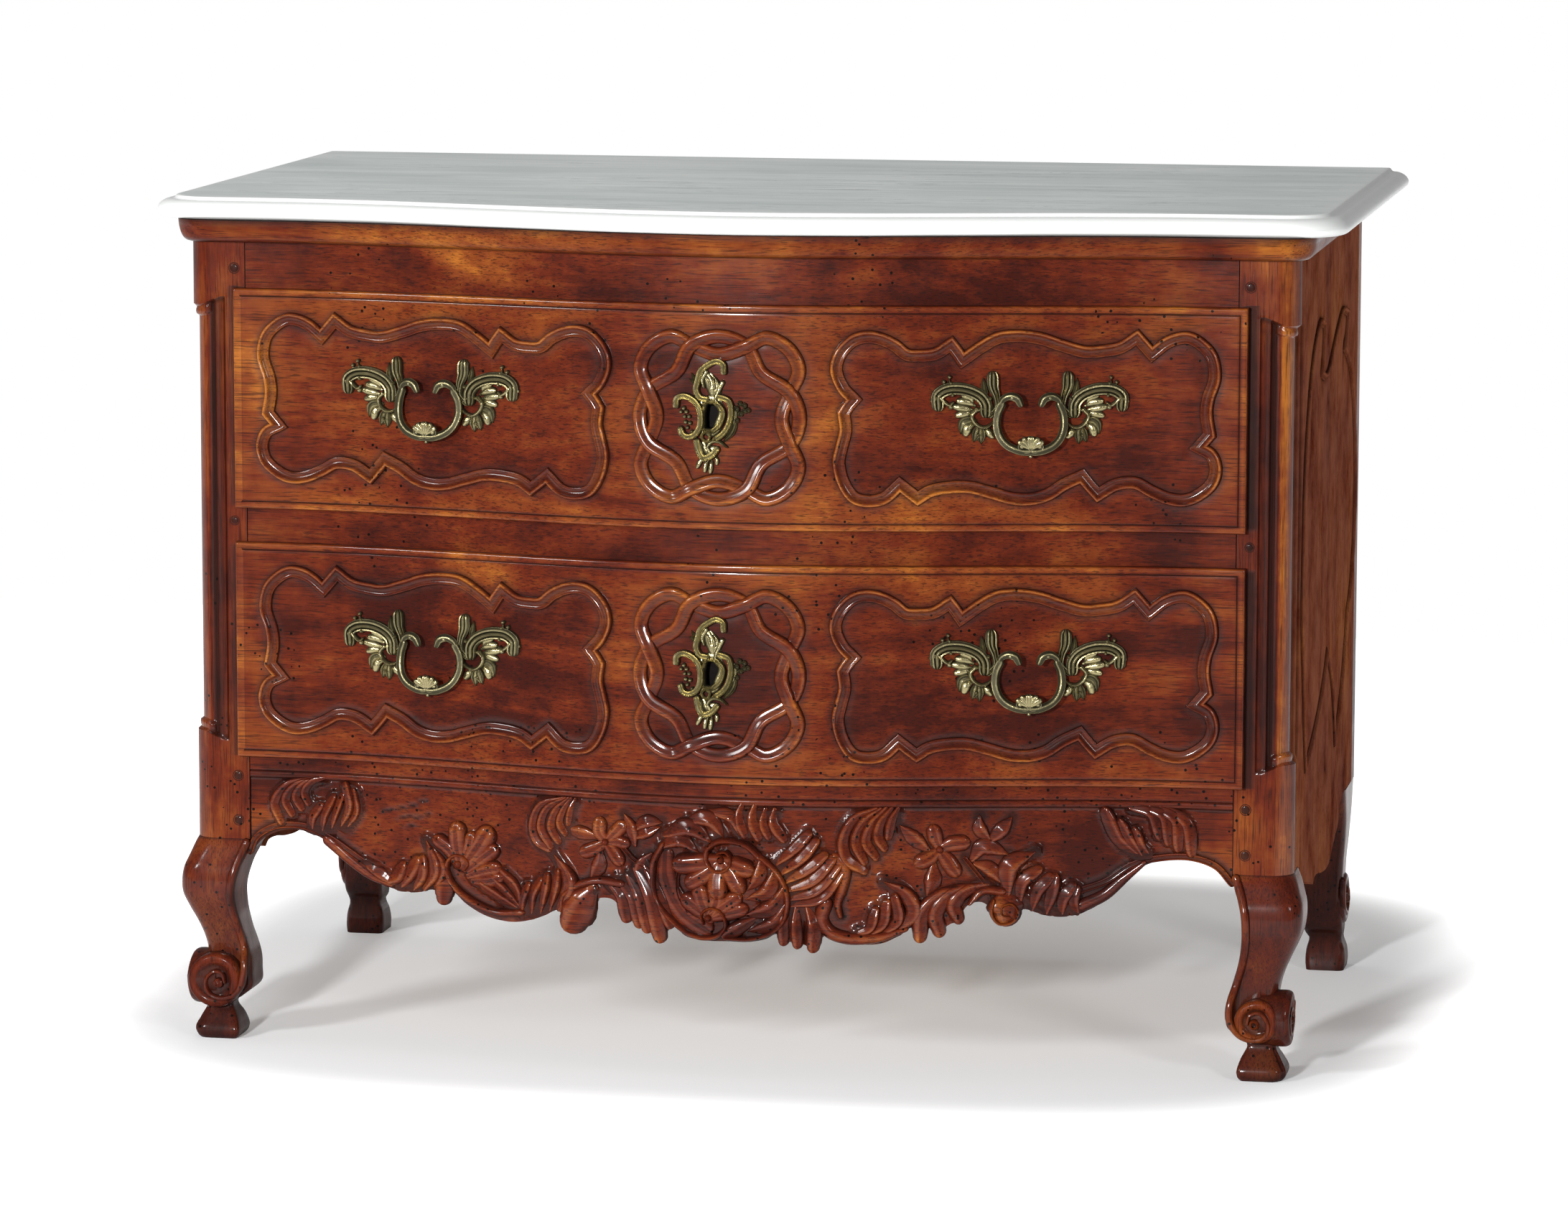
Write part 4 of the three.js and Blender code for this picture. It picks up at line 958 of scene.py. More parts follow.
def leg_bead(carving, place):
    """The bead that follows the leg's face and comes off it into the front scroll"""
    heights = np.array(LEG_BEAD)[:, 1]
    face = eased(LEG_OUTER, heights / LEG_HEIGHT) * STILE_WIDTH
    rolled = np.interp(heights, [86, 108], [1, 0])
    lifts = SCROLL_PROUD * rolled - face * (1 - rolled)
    lifts[12:] = np.linspace(SCROLL_PROUD, SCROLL_PROUD + 1, len(lifts) - 12)
    bead = [(across, rise, abs(dirt)) for across, rise, dirt in ROUND]
    carving.stroke(place, np.column_stack([LEG_BEAD, lifts]), 10, 6, "taper", bead, step=1.6)


def front_leg(carving, side):
    """A front cabriole leg: its post, the bead down its face and both scrolls"""
    leg_post(carving, side)
    x, z = SCROLL_MIDDLE
    smaller = side > 0  # the right leg's scroll on the front
    middle, radius = (x - 4 * smaller, z), size_of("scroll_radius") - 7 * smaller
    face = on_plane((0, -SCROLL_PROUD, 0), (side, 0, 0), UP, FORWARD)
    carving.volute(face, middle, radius, SCROLL_RIM, 30, FORWARD)
    place = on_plane((0, 0, 0), (side, 0, 0), UP, FORWARD)
    leg_bead(carving, place)
    carving.boss(place, SCROLL_EYE, 6.4, 8, base=SCROLL_PROUD, dimple=smaller)
    side_scroll(carving, side, 613, (27.0, z), 1, ((27, 13), (29, 4), (26, -5)), 30)


def stile_grime_and_shade(levels, inward, fluted, side):
    """Grime and painted shade in a front stile's flutes and collars, painted shade beside the drawers, a dark
    seam; below 0 it is rubbed
    """
    flutes = np.clip(np.asarray(FRONT_CUTS, float)[:-1, 1] / 4, 0, 1) ** 0.7
    column = [0.9, 0.5, 0.2, 0, 0, 0, 0, 0, 0.2, 0.7, 1]
    section = np.concatenate([flutes, column, [0.6, 0.3, 0.3, 0.3]])
    collar = np.interp(inward, [8, 10, 12, 16, 20, 22, 30], [0, 0.9, 0.9, 0.1, 0.7, 0.4, 0])
    grime = np.maximum(section * fluted[:, None], collar[:, None] * (section > 0.05))
    # Painted shade in the strip beside each drawer's proud lip
    shade_beside_lips = np.zeros(len(section))
    shade_beside_lips[1:6] = (1, 1, 1, 0.9, 0.3) if side > 0 else (1, 1, 0.95, 0.3, 0.1)
    drawers = np.interp(levels, MIDDLE_RAIL, [1, 0, 0, 1]) * (levels < UPPER_TOP) * (levels > LOWER_BOTTOM)
    seam = 1.0 * (np.arange(len(section)) == 0)
    grime = np.maximum(grime, np.maximum(shade_beside_lips * drawers[:, None], seam))
    rubbed = np.concatenate([0 * flutes, [0, 0.1, 0.3, 0.7, 0.9, 0.8, 0.5, 0.2, 0, 0, 0], np.zeros(4)])
    rubbed = rubbed * (0.7 if side > 0 else 0.3) * (0.6 + 0.8 * fluted[:, None])
    return np.where(grime > 0.1, np.clip(grime, 0, 1), -rubbed)


def front_stile(side, word):
    """A front corner in one piece: the fluted quarter column between collars, the pegs and the leg"""
    carving = Carving()
    ends = np.array([0, 4, 8, 10, 11, 12.5, 14.5, 17, 19, 20.5, 21.5, 23, 26])
    levels = np.concatenate([
        [LEG_HEIGHT, 260, 290, 321, 323], COLUMN_BOTTOM + ends, even(380, 540, 60), MIDDLE_RAIL,
        even(620, 790, 60), COLUMN_TOP - ends[::-1], [841, 843, 860, 880, CARCASS_TOP],
    ])
    inward = np.minimum(levels - COLUMN_BOTTOM, COLUMN_TOP - levels)
    fluted = np.interp(inward, [9, 12], [0, 1])
    ring = np.interp(inward, [10.5, 12.5, 16, 19.5, 21], [0, 3, 4.2, 3, 0])
    lip = np.clip(1 - np.abs(inward - 10) / 26, 0, 1)
    rings = []
    for level, share, bulge, rise in zip(levels, fluted, ring, lip):
        section = stile_section(share, bulge)
        aside = np.clip((600 - section[:, 0]) / 24, 0, 1) * np.clip((section[:, 0] - HALF_OPENING) / 12, 0, 1)
        slant = 11 * rise * aside * (section[:, 1] < 12)
        height = level + slant * (1 if level > 600 else -1)
        rings.append(at_level(section, height, side))
    carving.sheet(np.stack(rings), stile_grime_and_shade(levels, inward, fluted, side), wrap=True)
    front_leg(carving, side)
    place = on_plane((0, 0, 0), (side, 0, 0), UP, FORWARD)
    for u, v, share in PEGS:
        radius = share * size_of("peg_radius")
        carving.boss(place, (u, v), radius, PEG_GAP, worn=1.0)
        carving.closed_band(place, arc(u, v, radius + PEG_GAP, 0, 1, 13)[:-1], PEG_RING, step=1.0)
    for points in carving.points:
        points[:, 0] += np.interp(points[:, 2], *np.array(LEG_LEAN).T)
    wood = fine_walnut("upright", -0.09 if side > 0 else -0.07)
    carving.piece(f"corner_stile_{word}", wood, f"stile_front_{word}", crease=32)


def rear_stile(side, word):
    """A rear corner in one piece: the post behind the side board and the leg with its scroll"""
    carving = Carving()
    levels = even(LEG_HEIGHT, 0, 3.5)
    share = levels / LEG_HEIGHT
    near, far = (HALF_WIDTH - STILE_WIDTH * eased(line, share) for line in (REAR_INNER, REAR_OUTER))
    front, back = (DEPTH - REAR_LEG_DEPTH * eased(line, share) for line in (REAR_FRONT, REAR_BACK))
    rings = []
    for level, *faces in zip(levels, near, far, front, back):
        ring = rounded_section(*faces, (6, 8, 6, 5))
        rings.append(at_level(ring, level, side))
    # Darker towards the floor and at the hoof's collar
    darkening = np.interp(levels, [0, 8, 30, HOOF_TOP, 60, 228], [0.9, 0.5, 0.6, 0.9, 0.6, 0.35])
    carving.leg(rings, darkening)
    post = [at_level(np.array(REAR_POST), level, side) for level in even(LEG_HEIGHT, CARCASS_TOP, 60)]
    carving.sheet(np.stack(post), wrap=True)
    side_scroll(carving, side, 604, (DEPTH - 13.5, 86.0), -1, ((-30, 26), (-31, 8), (-27, -4)), 28, 0.3)
    carving.piece(f"rear_stile_{word}", fine_walnut("upright", -0.06), f"stile_back_{word}", crease=32)


# Rails and the carved apron


# The pocket for a lock's bolt: half its width, how far behind the face it starts and ends, and its height
BOLT_POCKET = (14, 21.5, 33.5, 12)


def bowed_rail(name, node, bottom, top, depth):
    """A rail that follows the bow, with a pocket in its lower edge for the bolt of the lock below it"""
    carving = Carving()
    half, near, far, high = BOLT_POCKET
    left = even(-HALF_OPENING + JOINT, -half, 8)
    u = np.concatenate([left, [-half, half], -left[::-1]])[:, None]
    low, head = np.full(u.shape, bottom), np.full(u.shape, top)
    ceiling = low.copy()
    ceiling[len(left):len(left) + 2] += high
    v = np.hstack([low, low, ceiling, ceiling, low, low, head, head])
    grid = on_front()(u + 0 * v, v, np.array([0, -near, -near, -far, -far, -depth, -depth, 0]) + 0 * v)
    carving.sheet(grid, wrap=True)
    middle = grid[len(grid) // 2].mean(axis=0)
    for end in (0, -1):
        carving.sheet(grid[end][[0, 7, 5, 6]].reshape(2, 2, 3), towards=grid[end].mean(axis=0) - middle)
    carving.piece(name, fine_walnut("across", -0.09), node, merge=True)


# The apron's lower edge: place across and height
APRON_EDGE = (
    (-548, 213), (-534, 228), (-520, 236), (-504, 240), (-486, 239), (-471, 234), (-456, 226), (-436, 211),
    (-418, 197), (-403, 189), (-385, 181), (-367, 178), (-350, 179), (-332, 183), (-322, 176), (-312, 182),
    (-296, 170), (-277, 160), (-258, 155), (-238, 154), (-218, 158), (-200, 165), (-185, 172), (-176, 160),
    (-166, 152), (-154, 165), (-146, 184), (-138, 188), (-124, 188), (-116, 182), (-104, 168), (-92, 164),
    (-80, 158), (-68, 150), (-55, 164), (-40, 152), (-20, 148), (10, 148), (30, 148), (50, 152), (62, 158),
    (70, 150), (84, 150), (99, 144), (110, 154), (118, 158), (136, 150), (156, 147), (176, 149), (194, 158),
    (206, 166), (216, 154), (226, 166), (235, 161), (244, 168), (254, 174), (265, 190), (278, 194), (286, 190),
    (294, 172), (306, 169), (318, 174), (324, 186), (345, 180), (366, 178), (386, 182), (404, 191), (422, 208),
    (440, 226), (456, 236), (474, 241), (494, 242), (512, 240), (530, 232), (544, 220), (548, 212),
)
# Carved strokes of the apron: kind, width, height and the knots from root to tip
APRON_CARVING = (
    # feather at the left end
    ("lobe", 9, 6, (-476, 299), (-505, 290), (-519, 271), (-512, 250)),
    ("lobe", 9, 7, (-472, 299), (-495, 290), (-506, 275), (-499, 259)),
    ("lobe", 9, 7, (-467, 299), (-485, 292), (-494, 279), (-488, 266)),
    ("lobe", 8, 7, (-462, 300), (-476, 295), (-484, 284), (-480, 272)),
    ("lobe", 9, 6, (-477, 241), (-475, 256), (-466, 269)),
    ("lobe", 9, 7, (-465, 241), (-461, 259), (-451, 279)),
    ("lobe", 8, 7, (-454, 244), (-447, 264), (-440, 282)),
    ("lobe", 10, 8, (-442, 249), (-432, 269), (-436, 292)),
    ("lobe", 8, 6, (-436, 246), (-424, 264), (-427, 287)),
    # border moulding and the ribbed leaf
    ("band", 8, 4.5, (-548, 214), (-541, 230), (-520, 243), (-486, 245), (-456, 233), (-428, 216), (-406, 202)),
    ("taper", 14, 5, (-458, 230), (-430, 208), (-405, 192), (-384, 185)),
    ("lobe", 11, 6, (-414, 206), (-399, 199), (-388, 192)),
    ("lobe", 13, 7, (-392, 188), (-377, 194), (-370, 206)),
    ("lobe", 13, 7, (-372, 184), (-361, 198), (-353, 213)),
    ("lobe", 12, 8, (-356, 183), (-346, 197), (-345, 215)),
    ("leaf", 14, 9, (-343, 184), (-330, 206), (-341, 238)),
    ("leaf", 12, 9, (-330, 187), (-321, 208), (-333, 231)),
    # shell and its scroll
    ("petal", 12, 7, (-303, 214), (-314, 230), (-325, 238)),
    ("petal", 15, 8, (-301, 218), (-304, 238), (-304, 251)),
    ("petal", 12, 7, (-297, 219), (-289, 234), (-287, 243)),
    ("petal", 18, 8, (-294, 215), (-279, 235), (-271, 247)),
    ("petal", 13, 7, (-291, 209), (-275, 222), (-263, 231)),
    ("petal", 13, 7, (-288, 203), (-273, 209), (-261, 212)),
    ("petal", 12, 7, (-283, 197), (-267, 198), (-257, 201)),
    ("lobe", 9, 7, (-234, 170), (-250, 179), (-275, 193)),
    ("lobe", 9, 8, (-232, 173), (-245, 187), (-261, 200)),
    ("lobe", 10, 8, (-231, 176), (-234, 193), (-250, 208)),
    (
        "taper", 9, 9, (-228, 166), (-258, 164), (-283, 172), (-304, 185), (-314, 198), (-316, 213),
        (-308, 223), (-297, 223), (-290, 216), (-294, 209),
    ),
    ("lobe", 17, 6, (-321, 202), (-320, 190), (-321, 176)),
    # feathers beside it
    ("lobe", 9, 7, (-229, 165), (-226, 182), (-220, 197)),
    ("lobe", 9, 7, (-217, 166), (-214, 188), (-206, 203)),
    ("lobe", 9, 8, (-206, 168), (-200, 192), (-197, 209)),
    ("lobe", 9, 8, (-195, 172), (-187, 197), (-185, 214)),
    ("leaf", 15, 9, (-184, 174), (-171, 204), (-189, 233)),
    ("lobe", 8, 6, (-179, 296), (-205, 287), (-214, 266), (-209, 247), (-196, 239)),
    ("lobe", 8, 7, (-177, 296), (-197, 284), (-204, 263), (-193, 243)),
    ("lobe", 8, 7, (-173, 296), (-187, 282), (-192, 264), (-184, 249)),
    ("lobe", 7, 7, (-170, 296), (-178, 283), (-182, 269), (-176, 258)),
    ("lobe", 6, 6, (-165, 296), (-170, 283), (-172, 269)),
    # flower on its stem
    ("petal", 12, 6, (-132, 254), (-137, 261), (-137, 270)),
    ("petal", 12, 6, (-126, 255), (-120, 261), (-113, 268)),
    ("petal", 10, 6, (-124, 251), (-116, 252), (-109, 251)),
    ("petal", 12, 6, (-127, 247), (-121, 240), (-116, 233)),
    ("petal", 12, 6, (-134, 248), (-142, 243), (-152, 239)),
    ("leaf", 13, 5, (-142, 256), (-163, 260), (-178, 262)),
    ("leaf", 12, 6, (-97, 250), (-101, 269), (-109, 283)),
    ("leaf", 15, 6, (-136, 238), (-138, 224), (-147, 208)),
    ("leaf", 11, 6, (-97, 258), (-88, 262), (-68, 271)),
    ("leaf", 13, 7, (-95, 268), (-84, 276), (-66, 276)),
    ("leaf", 11, 6, (-78, 240), (-90, 228), (-96, 214)),
    ("band", 5, 6, (-109, 246), (-97, 234), (-84, 226), (-74, 216)),
    # curled band over the broken lobe, and the ribs to the middle scroll
    ("lobe", 30, 9, (-146, 196), (-158, 180), (-167, 163)),
    ("taper", 11, 9, (-112, 206), (-138, 208), (-162, 201), (-178, 188), (-180, 172)),
    ("lobe", 13, 7, (-125, 205), (-111, 193), (-106, 170)),
    ("lobe", 13, 8, (-116, 211), (-98, 192), (-91, 165)),
    ("lobe", 13, 8, (-104, 216), (-90, 192), (-82, 160)),
    ("lobe", 15, 8, (-95, 223), (-78, 193), (-68, 151)),
    ("lobe", 11, 7, (-86, 230), (-70, 200), (-57, 165)),
    # middle scroll
    ("petal", 20, 5, (-62, 240), (-62, 218), (-54, 195), (-40, 176), (-22, 164)),
    ("band", 4, 6, (-43, 236), (-48, 214), (-46, 197), (-36, 180)),
    ("petal", 15, 7, (-13, 174), (-25, 184), (-34, 191)),
    ("petal", 15, 8, (-13, 176), (-20, 191), (-22, 201)),
    ("petal", 15, 8, (-12, 176), (-4, 192), (-4, 202)),
    ("petal", 14, 8, (-11, 176), (8, 190), (15, 195)),
    ("petal", 13, 7, (-10, 175), (13, 181), (22, 184)),
    (
        "taper", 8.5, 12, (-64, 252), (-74, 233), (-75, 213), (-70, 191), (-57, 173), (-40, 159), (-21, 152),
        (-4, 154), (6, 165), (2, 180), (-10, 185), (-20, 178), (-18, 168),
    ),
    ("leaf", 15, 11, (-67, 250), (-45, 259), (-24, 246)),
    ("leaf", 18, 12, (-60, 264), (-34, 273), (-9, 257)),
    ("leaf", 16, 11, (-36, 280), (-12, 283), (4, 263)),
    ("leaf", 12, 9, (-12, 291), (12, 286), (22, 265)),
    ("petal", 17, 10, (-1, 236), (-21, 234), (-41, 232)),
    ("petal", 15, 10, (-1, 234), (-16, 222), (-29, 214)),
    ("petal", 17, 11, (0, 233), (-3, 218), (-3, 206)),
    ("petal", 15, 11, (3, 234), (13, 221), (19, 211)),
    ("petal", 15, 10, (4, 236), (17, 232), (27, 229)),
    (
        "taper", 9, 14, (42, 243), (30, 254), (14, 259), (-3, 258), (-14, 249), (-14, 236), (-5, 226), (7, 228),
        (12, 238), (7, 247), (-2, 246),
    ),
    ("leaf", 14, 9, (45, 240), (43, 222), (30, 205)),
    ("leaf", 16, 10, (60, 227), (52, 205), (28, 195)),
    ("leaf", 17, 10, (70, 208), (58, 188), (27, 177)),
    ("leaf", 15, 9, (72, 190), (60, 170), (30, 160)),
    ("lobe", 13, 7, (38, 174), (24, 166), (8, 156)),
    ("taper", 8, 12, (41, 245), (60, 228), (71, 209), (73, 189), (67, 170), (53, 158), (32, 152), (6, 152)),
    # leaves that hang under the band, and the ribbed fan
    ("lobe", 10, 6, (23, 299), (20, 285), (26, 267)),
    ("lobe", 11, 7, (37, 298), (35, 283), (41, 265)),
    ("lobe", 9, 7, (49, 295), (47, 279), (52, 266)),
    ("lobe", 11, 7, (59, 294), (58, 280), (68, 264)),
    ("lobe", 11, 9, (62, 236), (81, 253), (95, 268)),
    ("lobe", 11, 10, (67, 225), (89, 243), (103, 260)),
    ("lobe", 11, 10, (72, 216), (96, 231), (112, 245)),
    ("lobe", 12, 11, (75, 207), (100, 218), (121, 241)),
    ("lobe", 11, 10, (76, 197), (104, 207), (127, 234)),
    ("lobe", 10, 9, (78, 190), (109, 198), (131, 227)),
    ("taper", 15, 9, (126, 242), (135, 230), (132, 210), (127, 192), (130, 179)),
    ("taper", 17, 9, (114, 192), (110, 176), (118, 162), (135, 155), (154, 154), (173, 156), (199, 165)),
    ("lobe", 10, 9, (148, 160), (161, 166), (167, 185)),
    ("lobe", 11, 9, (161, 159), (175, 171), (179, 193)),
    ("lobe", 11, 10, (175, 160), (191, 175), (188, 199)),
    ("leaf", 15, 10, (190, 164), (208, 183), (200, 203), (176, 217)),
    ("lobe", 11, 8, (73, 187), (69, 169), (69, 151)),
    ("lobe", 11, 9, (83, 188), (83, 166), (84, 148)),
    ("lobe", 13, 9, (95, 188), (102, 167), (101, 145)),
    ("lobe", 11, 8, (167, 296), (145, 286), (133, 263), (137, 242), (154, 230)),
    ("lobe", 10, 9, (172, 296), (154, 282), (146, 261), (155, 240)),
    ("lobe", 10, 9, (178, 297), (163, 280), (157, 261), (167, 245)),
    ("lobe", 10, 9, (184, 297), (172, 280), (170, 266), (176, 255)),
    ("lobe", 9, 7, (191, 297), (184, 283), (181, 267)),
    # flower on the right and its leaves
    ("petal", 12, 6, (234, 256), (231, 263), (229, 271)),
    ("petal", 13, 6, (239, 254), (248, 258), (258, 259)),
    ("petal", 13, 6, (237, 248), (244, 239), (250, 230)),
    ("petal", 13, 6, (231, 248), (225, 243), (217, 239)),
    ("leaf", 14, 5, (222, 252), (208, 264), (193, 278)),
    ("leaf", 16, 6, (229, 234), (228, 217), (222, 200)),
    ("leaf", 13, 7, (286, 264), (277, 275), (277, 289)),
    ("leaf", 14, 7, (289, 262), (300, 273), (311, 287)),
    ("leaf", 16, 7, (270, 242), (281, 255), (307, 247)),
    ("leaf", 14, 7, (274, 236), (288, 231), (303, 214)),
    ("band", 5, 5, (262, 242), (270, 232), (281, 218)),
    ("lobe", 14, 8, (272, 210), (236, 201), (217, 180), (215, 157)),
    ("lobe", 14, 9, (279, 213), (247, 203), (231, 182), (235, 163)),
    ("lobe", 13, 9, (285, 212), (263, 207), (250, 192), (255, 177)),
    ("taper", 12, 9, (300, 206), (281, 207), (267, 193)),
    ("lobe", 30, 9, (303, 203), (305, 192), (306, 184)),
    (
        "taper", 5, 13, (292, 196), (290, 182), (298, 171), (312, 173), (318, 184), (311, 193), (301, 190),
        (301, 181), (309, 179),
    ),
    ("leaf", 18, 9, (307, 205), (309, 234), (336, 250)),
    ("lobe", 12, 8, (319, 193), (323, 217), (338, 229)),
    ("lobe", 12, 8, (333, 187), (339, 207), (351, 221)),
    ("lobe", 12, 8, (348, 183), (353, 201), (357, 220)),
    ("lobe", 12, 7, (364, 181), (366, 198), (375, 211)),
    ("lobe", 11, 7, (381, 182), (377, 197), (380, 208)),
    ("taper", 15, 5, (386, 190), (410, 202), (430, 220), (452, 238)),
    ("band", 8, 4.5, (384, 207), (411, 217), (438, 235), (466, 243), (502, 245), (530, 236), (547, 218)),
    # feather at the right end
    ("lobe", 13, 7, (444, 247), (425, 263), (411, 292)),
    ("lobe", 11, 8, (448, 247), (438, 261), (427, 281)),
    ("lobe", 11, 7, (456, 248), (449, 256), (442, 272)),
    ("lobe", 11, 6, (438, 298), (460, 292), (468, 269)),
    ("lobe", 11, 7, (449, 299), (473, 290), (478, 263)),
    ("lobe", 12, 7, (460, 300), (486, 286), (489, 257)),
    ("lobe", 12, 6, (471, 300), (498, 282), (503, 252)),
)
APRON_BEADS = ((-130, 251, 4.5, 8), (235, 252, 4.5, 8), (-303, 214, 5.5, 9), (-13, 174, 4.6, 13), (1, 238, 5, 14))
APRON_THICK = 26.0
# The medallion in the middle: its centre across and up, and its radius
MEDALLION = (0, 204, 52)
# How much fuller some strokes are cut than drawn, and the height from which they stand on a raised ground
FULLER = {"lobe": 1.42, "petal": 1.5, "leaf": 1.3}
MASSED = {"lobe": 6, "petal": 7, "leaf": 8}
# The moulding along the apron's top edge: height, lift, and grime with painted shade in its groove; it runs down
# to the carved ground
APRON_HEAD = (
    (332, 0, 0.3), (322, 0, 0.1), (314, 0, 0), (308, 0, 0), (306.6, -0.3, 0.4), (305.6, -1.5, 1),
    (304.6, -0.3, 0.4), (303.6, 0.2, 0), (301.5, 0.5, 0), (299.4, 0.2, 0.2), (298.4, -0.6, 0.6),
    (297.4, -1.9, 1),
)
# Old scars in the ground: place across, height, length and width
APRON_SCARS = (
    (-386, 268, 12, 2.6), (-372, 271, 10, 3), (-358, 275, 9, 3.4), (-347, 280, 8, 3), (-366, 262, 14, 2.4),
    (-352, 262, 10, 2.6), (-340, 266, 5, 3), (-361, 252, 9, 2.2),
)


def dent(across, height, wide, high):
    """A soft hollow of that width and height, 1 in its middle"""
    return np.exp(-2 * ((across / wide) ** 2 + (height / high) ** 2))


def apron_strokes(carving, place, ground):
    """Cuts the carving of the apron and returns the strokes that stand on raised masses"""
    x, z, radius = MEDALLION
    masses = Carving()
    for kind, width, height, *knots in APRON_CARVING:
        framed = math.hypot(knots[0][0] - x, knots[0][1] - z) < radius
        massed = height >= MASSED.get(kind, math.inf) and not framed
        section = FEATHER if kind in ("lobe", "leaf") else None
        base = ground + 1.2 * (massed or framed)
        carving.stroke(place, knots, width * FULLER.get(kind, 1), height + 1.5 * framed, kind, section, base=base)
        if massed:
            masses.traces.append(smooth_line(knots, 2.2)[:, :2])
    for u, v, radius, height in APRON_BEADS:
        carving.boss(place, (u, v), radius, height, base=ground)
    return masses


def apron():
    """The carved apron: a moulded head, a ground with masses and scars, and the strokes on it"""
    carving = Carving()
    place = on_front()
    ground = -size_of("ground_depth")
    masses = apron_strokes(carving, place, ground)
    u = even(-HALF_OPENING + JOINT, HALF_OPENING - JOINT, 2.6)
    edge = smooth_line(APRON_EDGE, 2.0)
    bottom = np.interp(u, edge[:, 0], edge[:, 1])
    head = np.array([*APRON_HEAD, (296.4, ground, 0.7)])
    share = np.linspace(0, 1, 44)[1:]
    body = head[-1, 0] + (bottom[:, None] - head[-1, 0]) * share
    across = u[:, None] + 0 * body
    gap, mass = carving.distances(across, body), masses.distances(across, body)
    raised = np.clip((8.8 - mass) / 2.2, 0, 1)
    raised = raised**2 * (3 - 2 * raised)
    # Grime and painted shade on the ground beside the carving and between its massed strokes, less inside the
    # medallion
    near = np.maximum(np.clip(1 - (gap - 5) / 7, 0, 1) ** 1.5 * 0.9, 0.8 * (mass < 7.4))
    near *= 1 - 0.75 * (np.hypot(across - MEDALLION[0], body - MEDALLION[1]) < MEDALLION[2])
    for x, z, long, wide in APRON_SCARS:
        along, aside = (across - x) * 0.96 + (body - z) * 0.26, (body - z) * 0.96 - (across - x) * 0.26
        near = np.maximum(near, 1.3 * dent(along, aside, long, wide))
    # Down the face, then round the lower edge and up the back: rise, lift, and grime with painted shade of each
    # row
    lifts = ground + 3.6 * raised - 1.2 * (near > 0.95)
    # The underside is painted dark: shade under the apron
    under = np.array([(0.6, -4, 0.7), (0.8, -6, 0.7), (0.8, -APRON_THICK, 0.7)])
    back = np.array([(APRON_HEAD[0][0], -APRON_THICK, 0.3)])
    column = np.ones((len(u), 1))
    rows, lifts, grime = (
        np.hstack([column * head[:, i], face, column * under[:, i] + start, column * back[:, i]])
        for i, (face, start) in enumerate(((body, bottom[:, None]), (lifts, 0), (near, 0)))
    )
    carving.sheet(place(u[:, None] + 0 * rows, rows, lifts), grime, wrap=True)
    carving.piece("carved_apron", fine_walnut("across", -0.08), "apron_front", crease=42)


# Side boards

# Both ends of a side board, its thickness, and its lower edge: place along it and height
SIDE_NEAR, SIDE_FAR, SIDE_THICK = 24.3, 624.7, 21.7
SIDE_EDGE = (
    (24.3, 228.3), (62, 228.3), (80, 219), (102, 207), (135, 198), (175, 190), (205, 184), (216, 180),
    (228, 185), (262, 184), (300, 178), (354, 173), (390, 175), (417, 185), (450, 194), (482, 204), (502, 222),
    (520, 228.3), (624.7, 228.3),
)
# The runs of its frame, which meet at mitred corners, and the section of the moulding
SIDE_FRAME = (
    ((62, 560), (70, 640), (92, 705), (128, 760), (172, 792), (214, 806), (254, 800)),
    ((254, 800), (246, 770), (232, 748)),
    ((232, 748), (290, 740), (345, 760), (400, 782), (452, 796), (506, 790)),
    ((506, 790), (494, 768), (476, 752)),
    ((476, 752), (530, 730), (574, 690), (600, 640), (614, 579), (604, 520), (580, 470)),
    ((580, 470), (560, 452), (540, 440)),
    ((540, 440), (520, 400), (480, 350), (426, 308)),
    ((426, 308), (408, 350), (378, 390), (331, 424)),
    ((331, 424), (300, 400), (250, 372), (200, 352), (118, 327)),
    ((118, 327), (98, 380), (80, 440), (62, 500), (62, 560)),
)
SIDE_MOULDING = (
    (5, -1.2, 1), (4.4, 0.8, 0.8), (3.4, 2.2, 0.2), (2, 2.9, 0), (0.6, 2.5, 0), (-0.6, 1.2, 0.5),
    (-2.4, 0.6, 0.6), (-4, 0.8, 0.3), (-5, -1.2, 1),
)
# Old gouges: place along the board, height, and the size both ways
SIDE_GOUGES = (
    (150, 700, 14, 34), (255, 735, 9, 20), (470, 742, 8, 26), (330, 300, 10, 22), (208, 268, 6, 20),
    (520, 300, 9, 26),
)


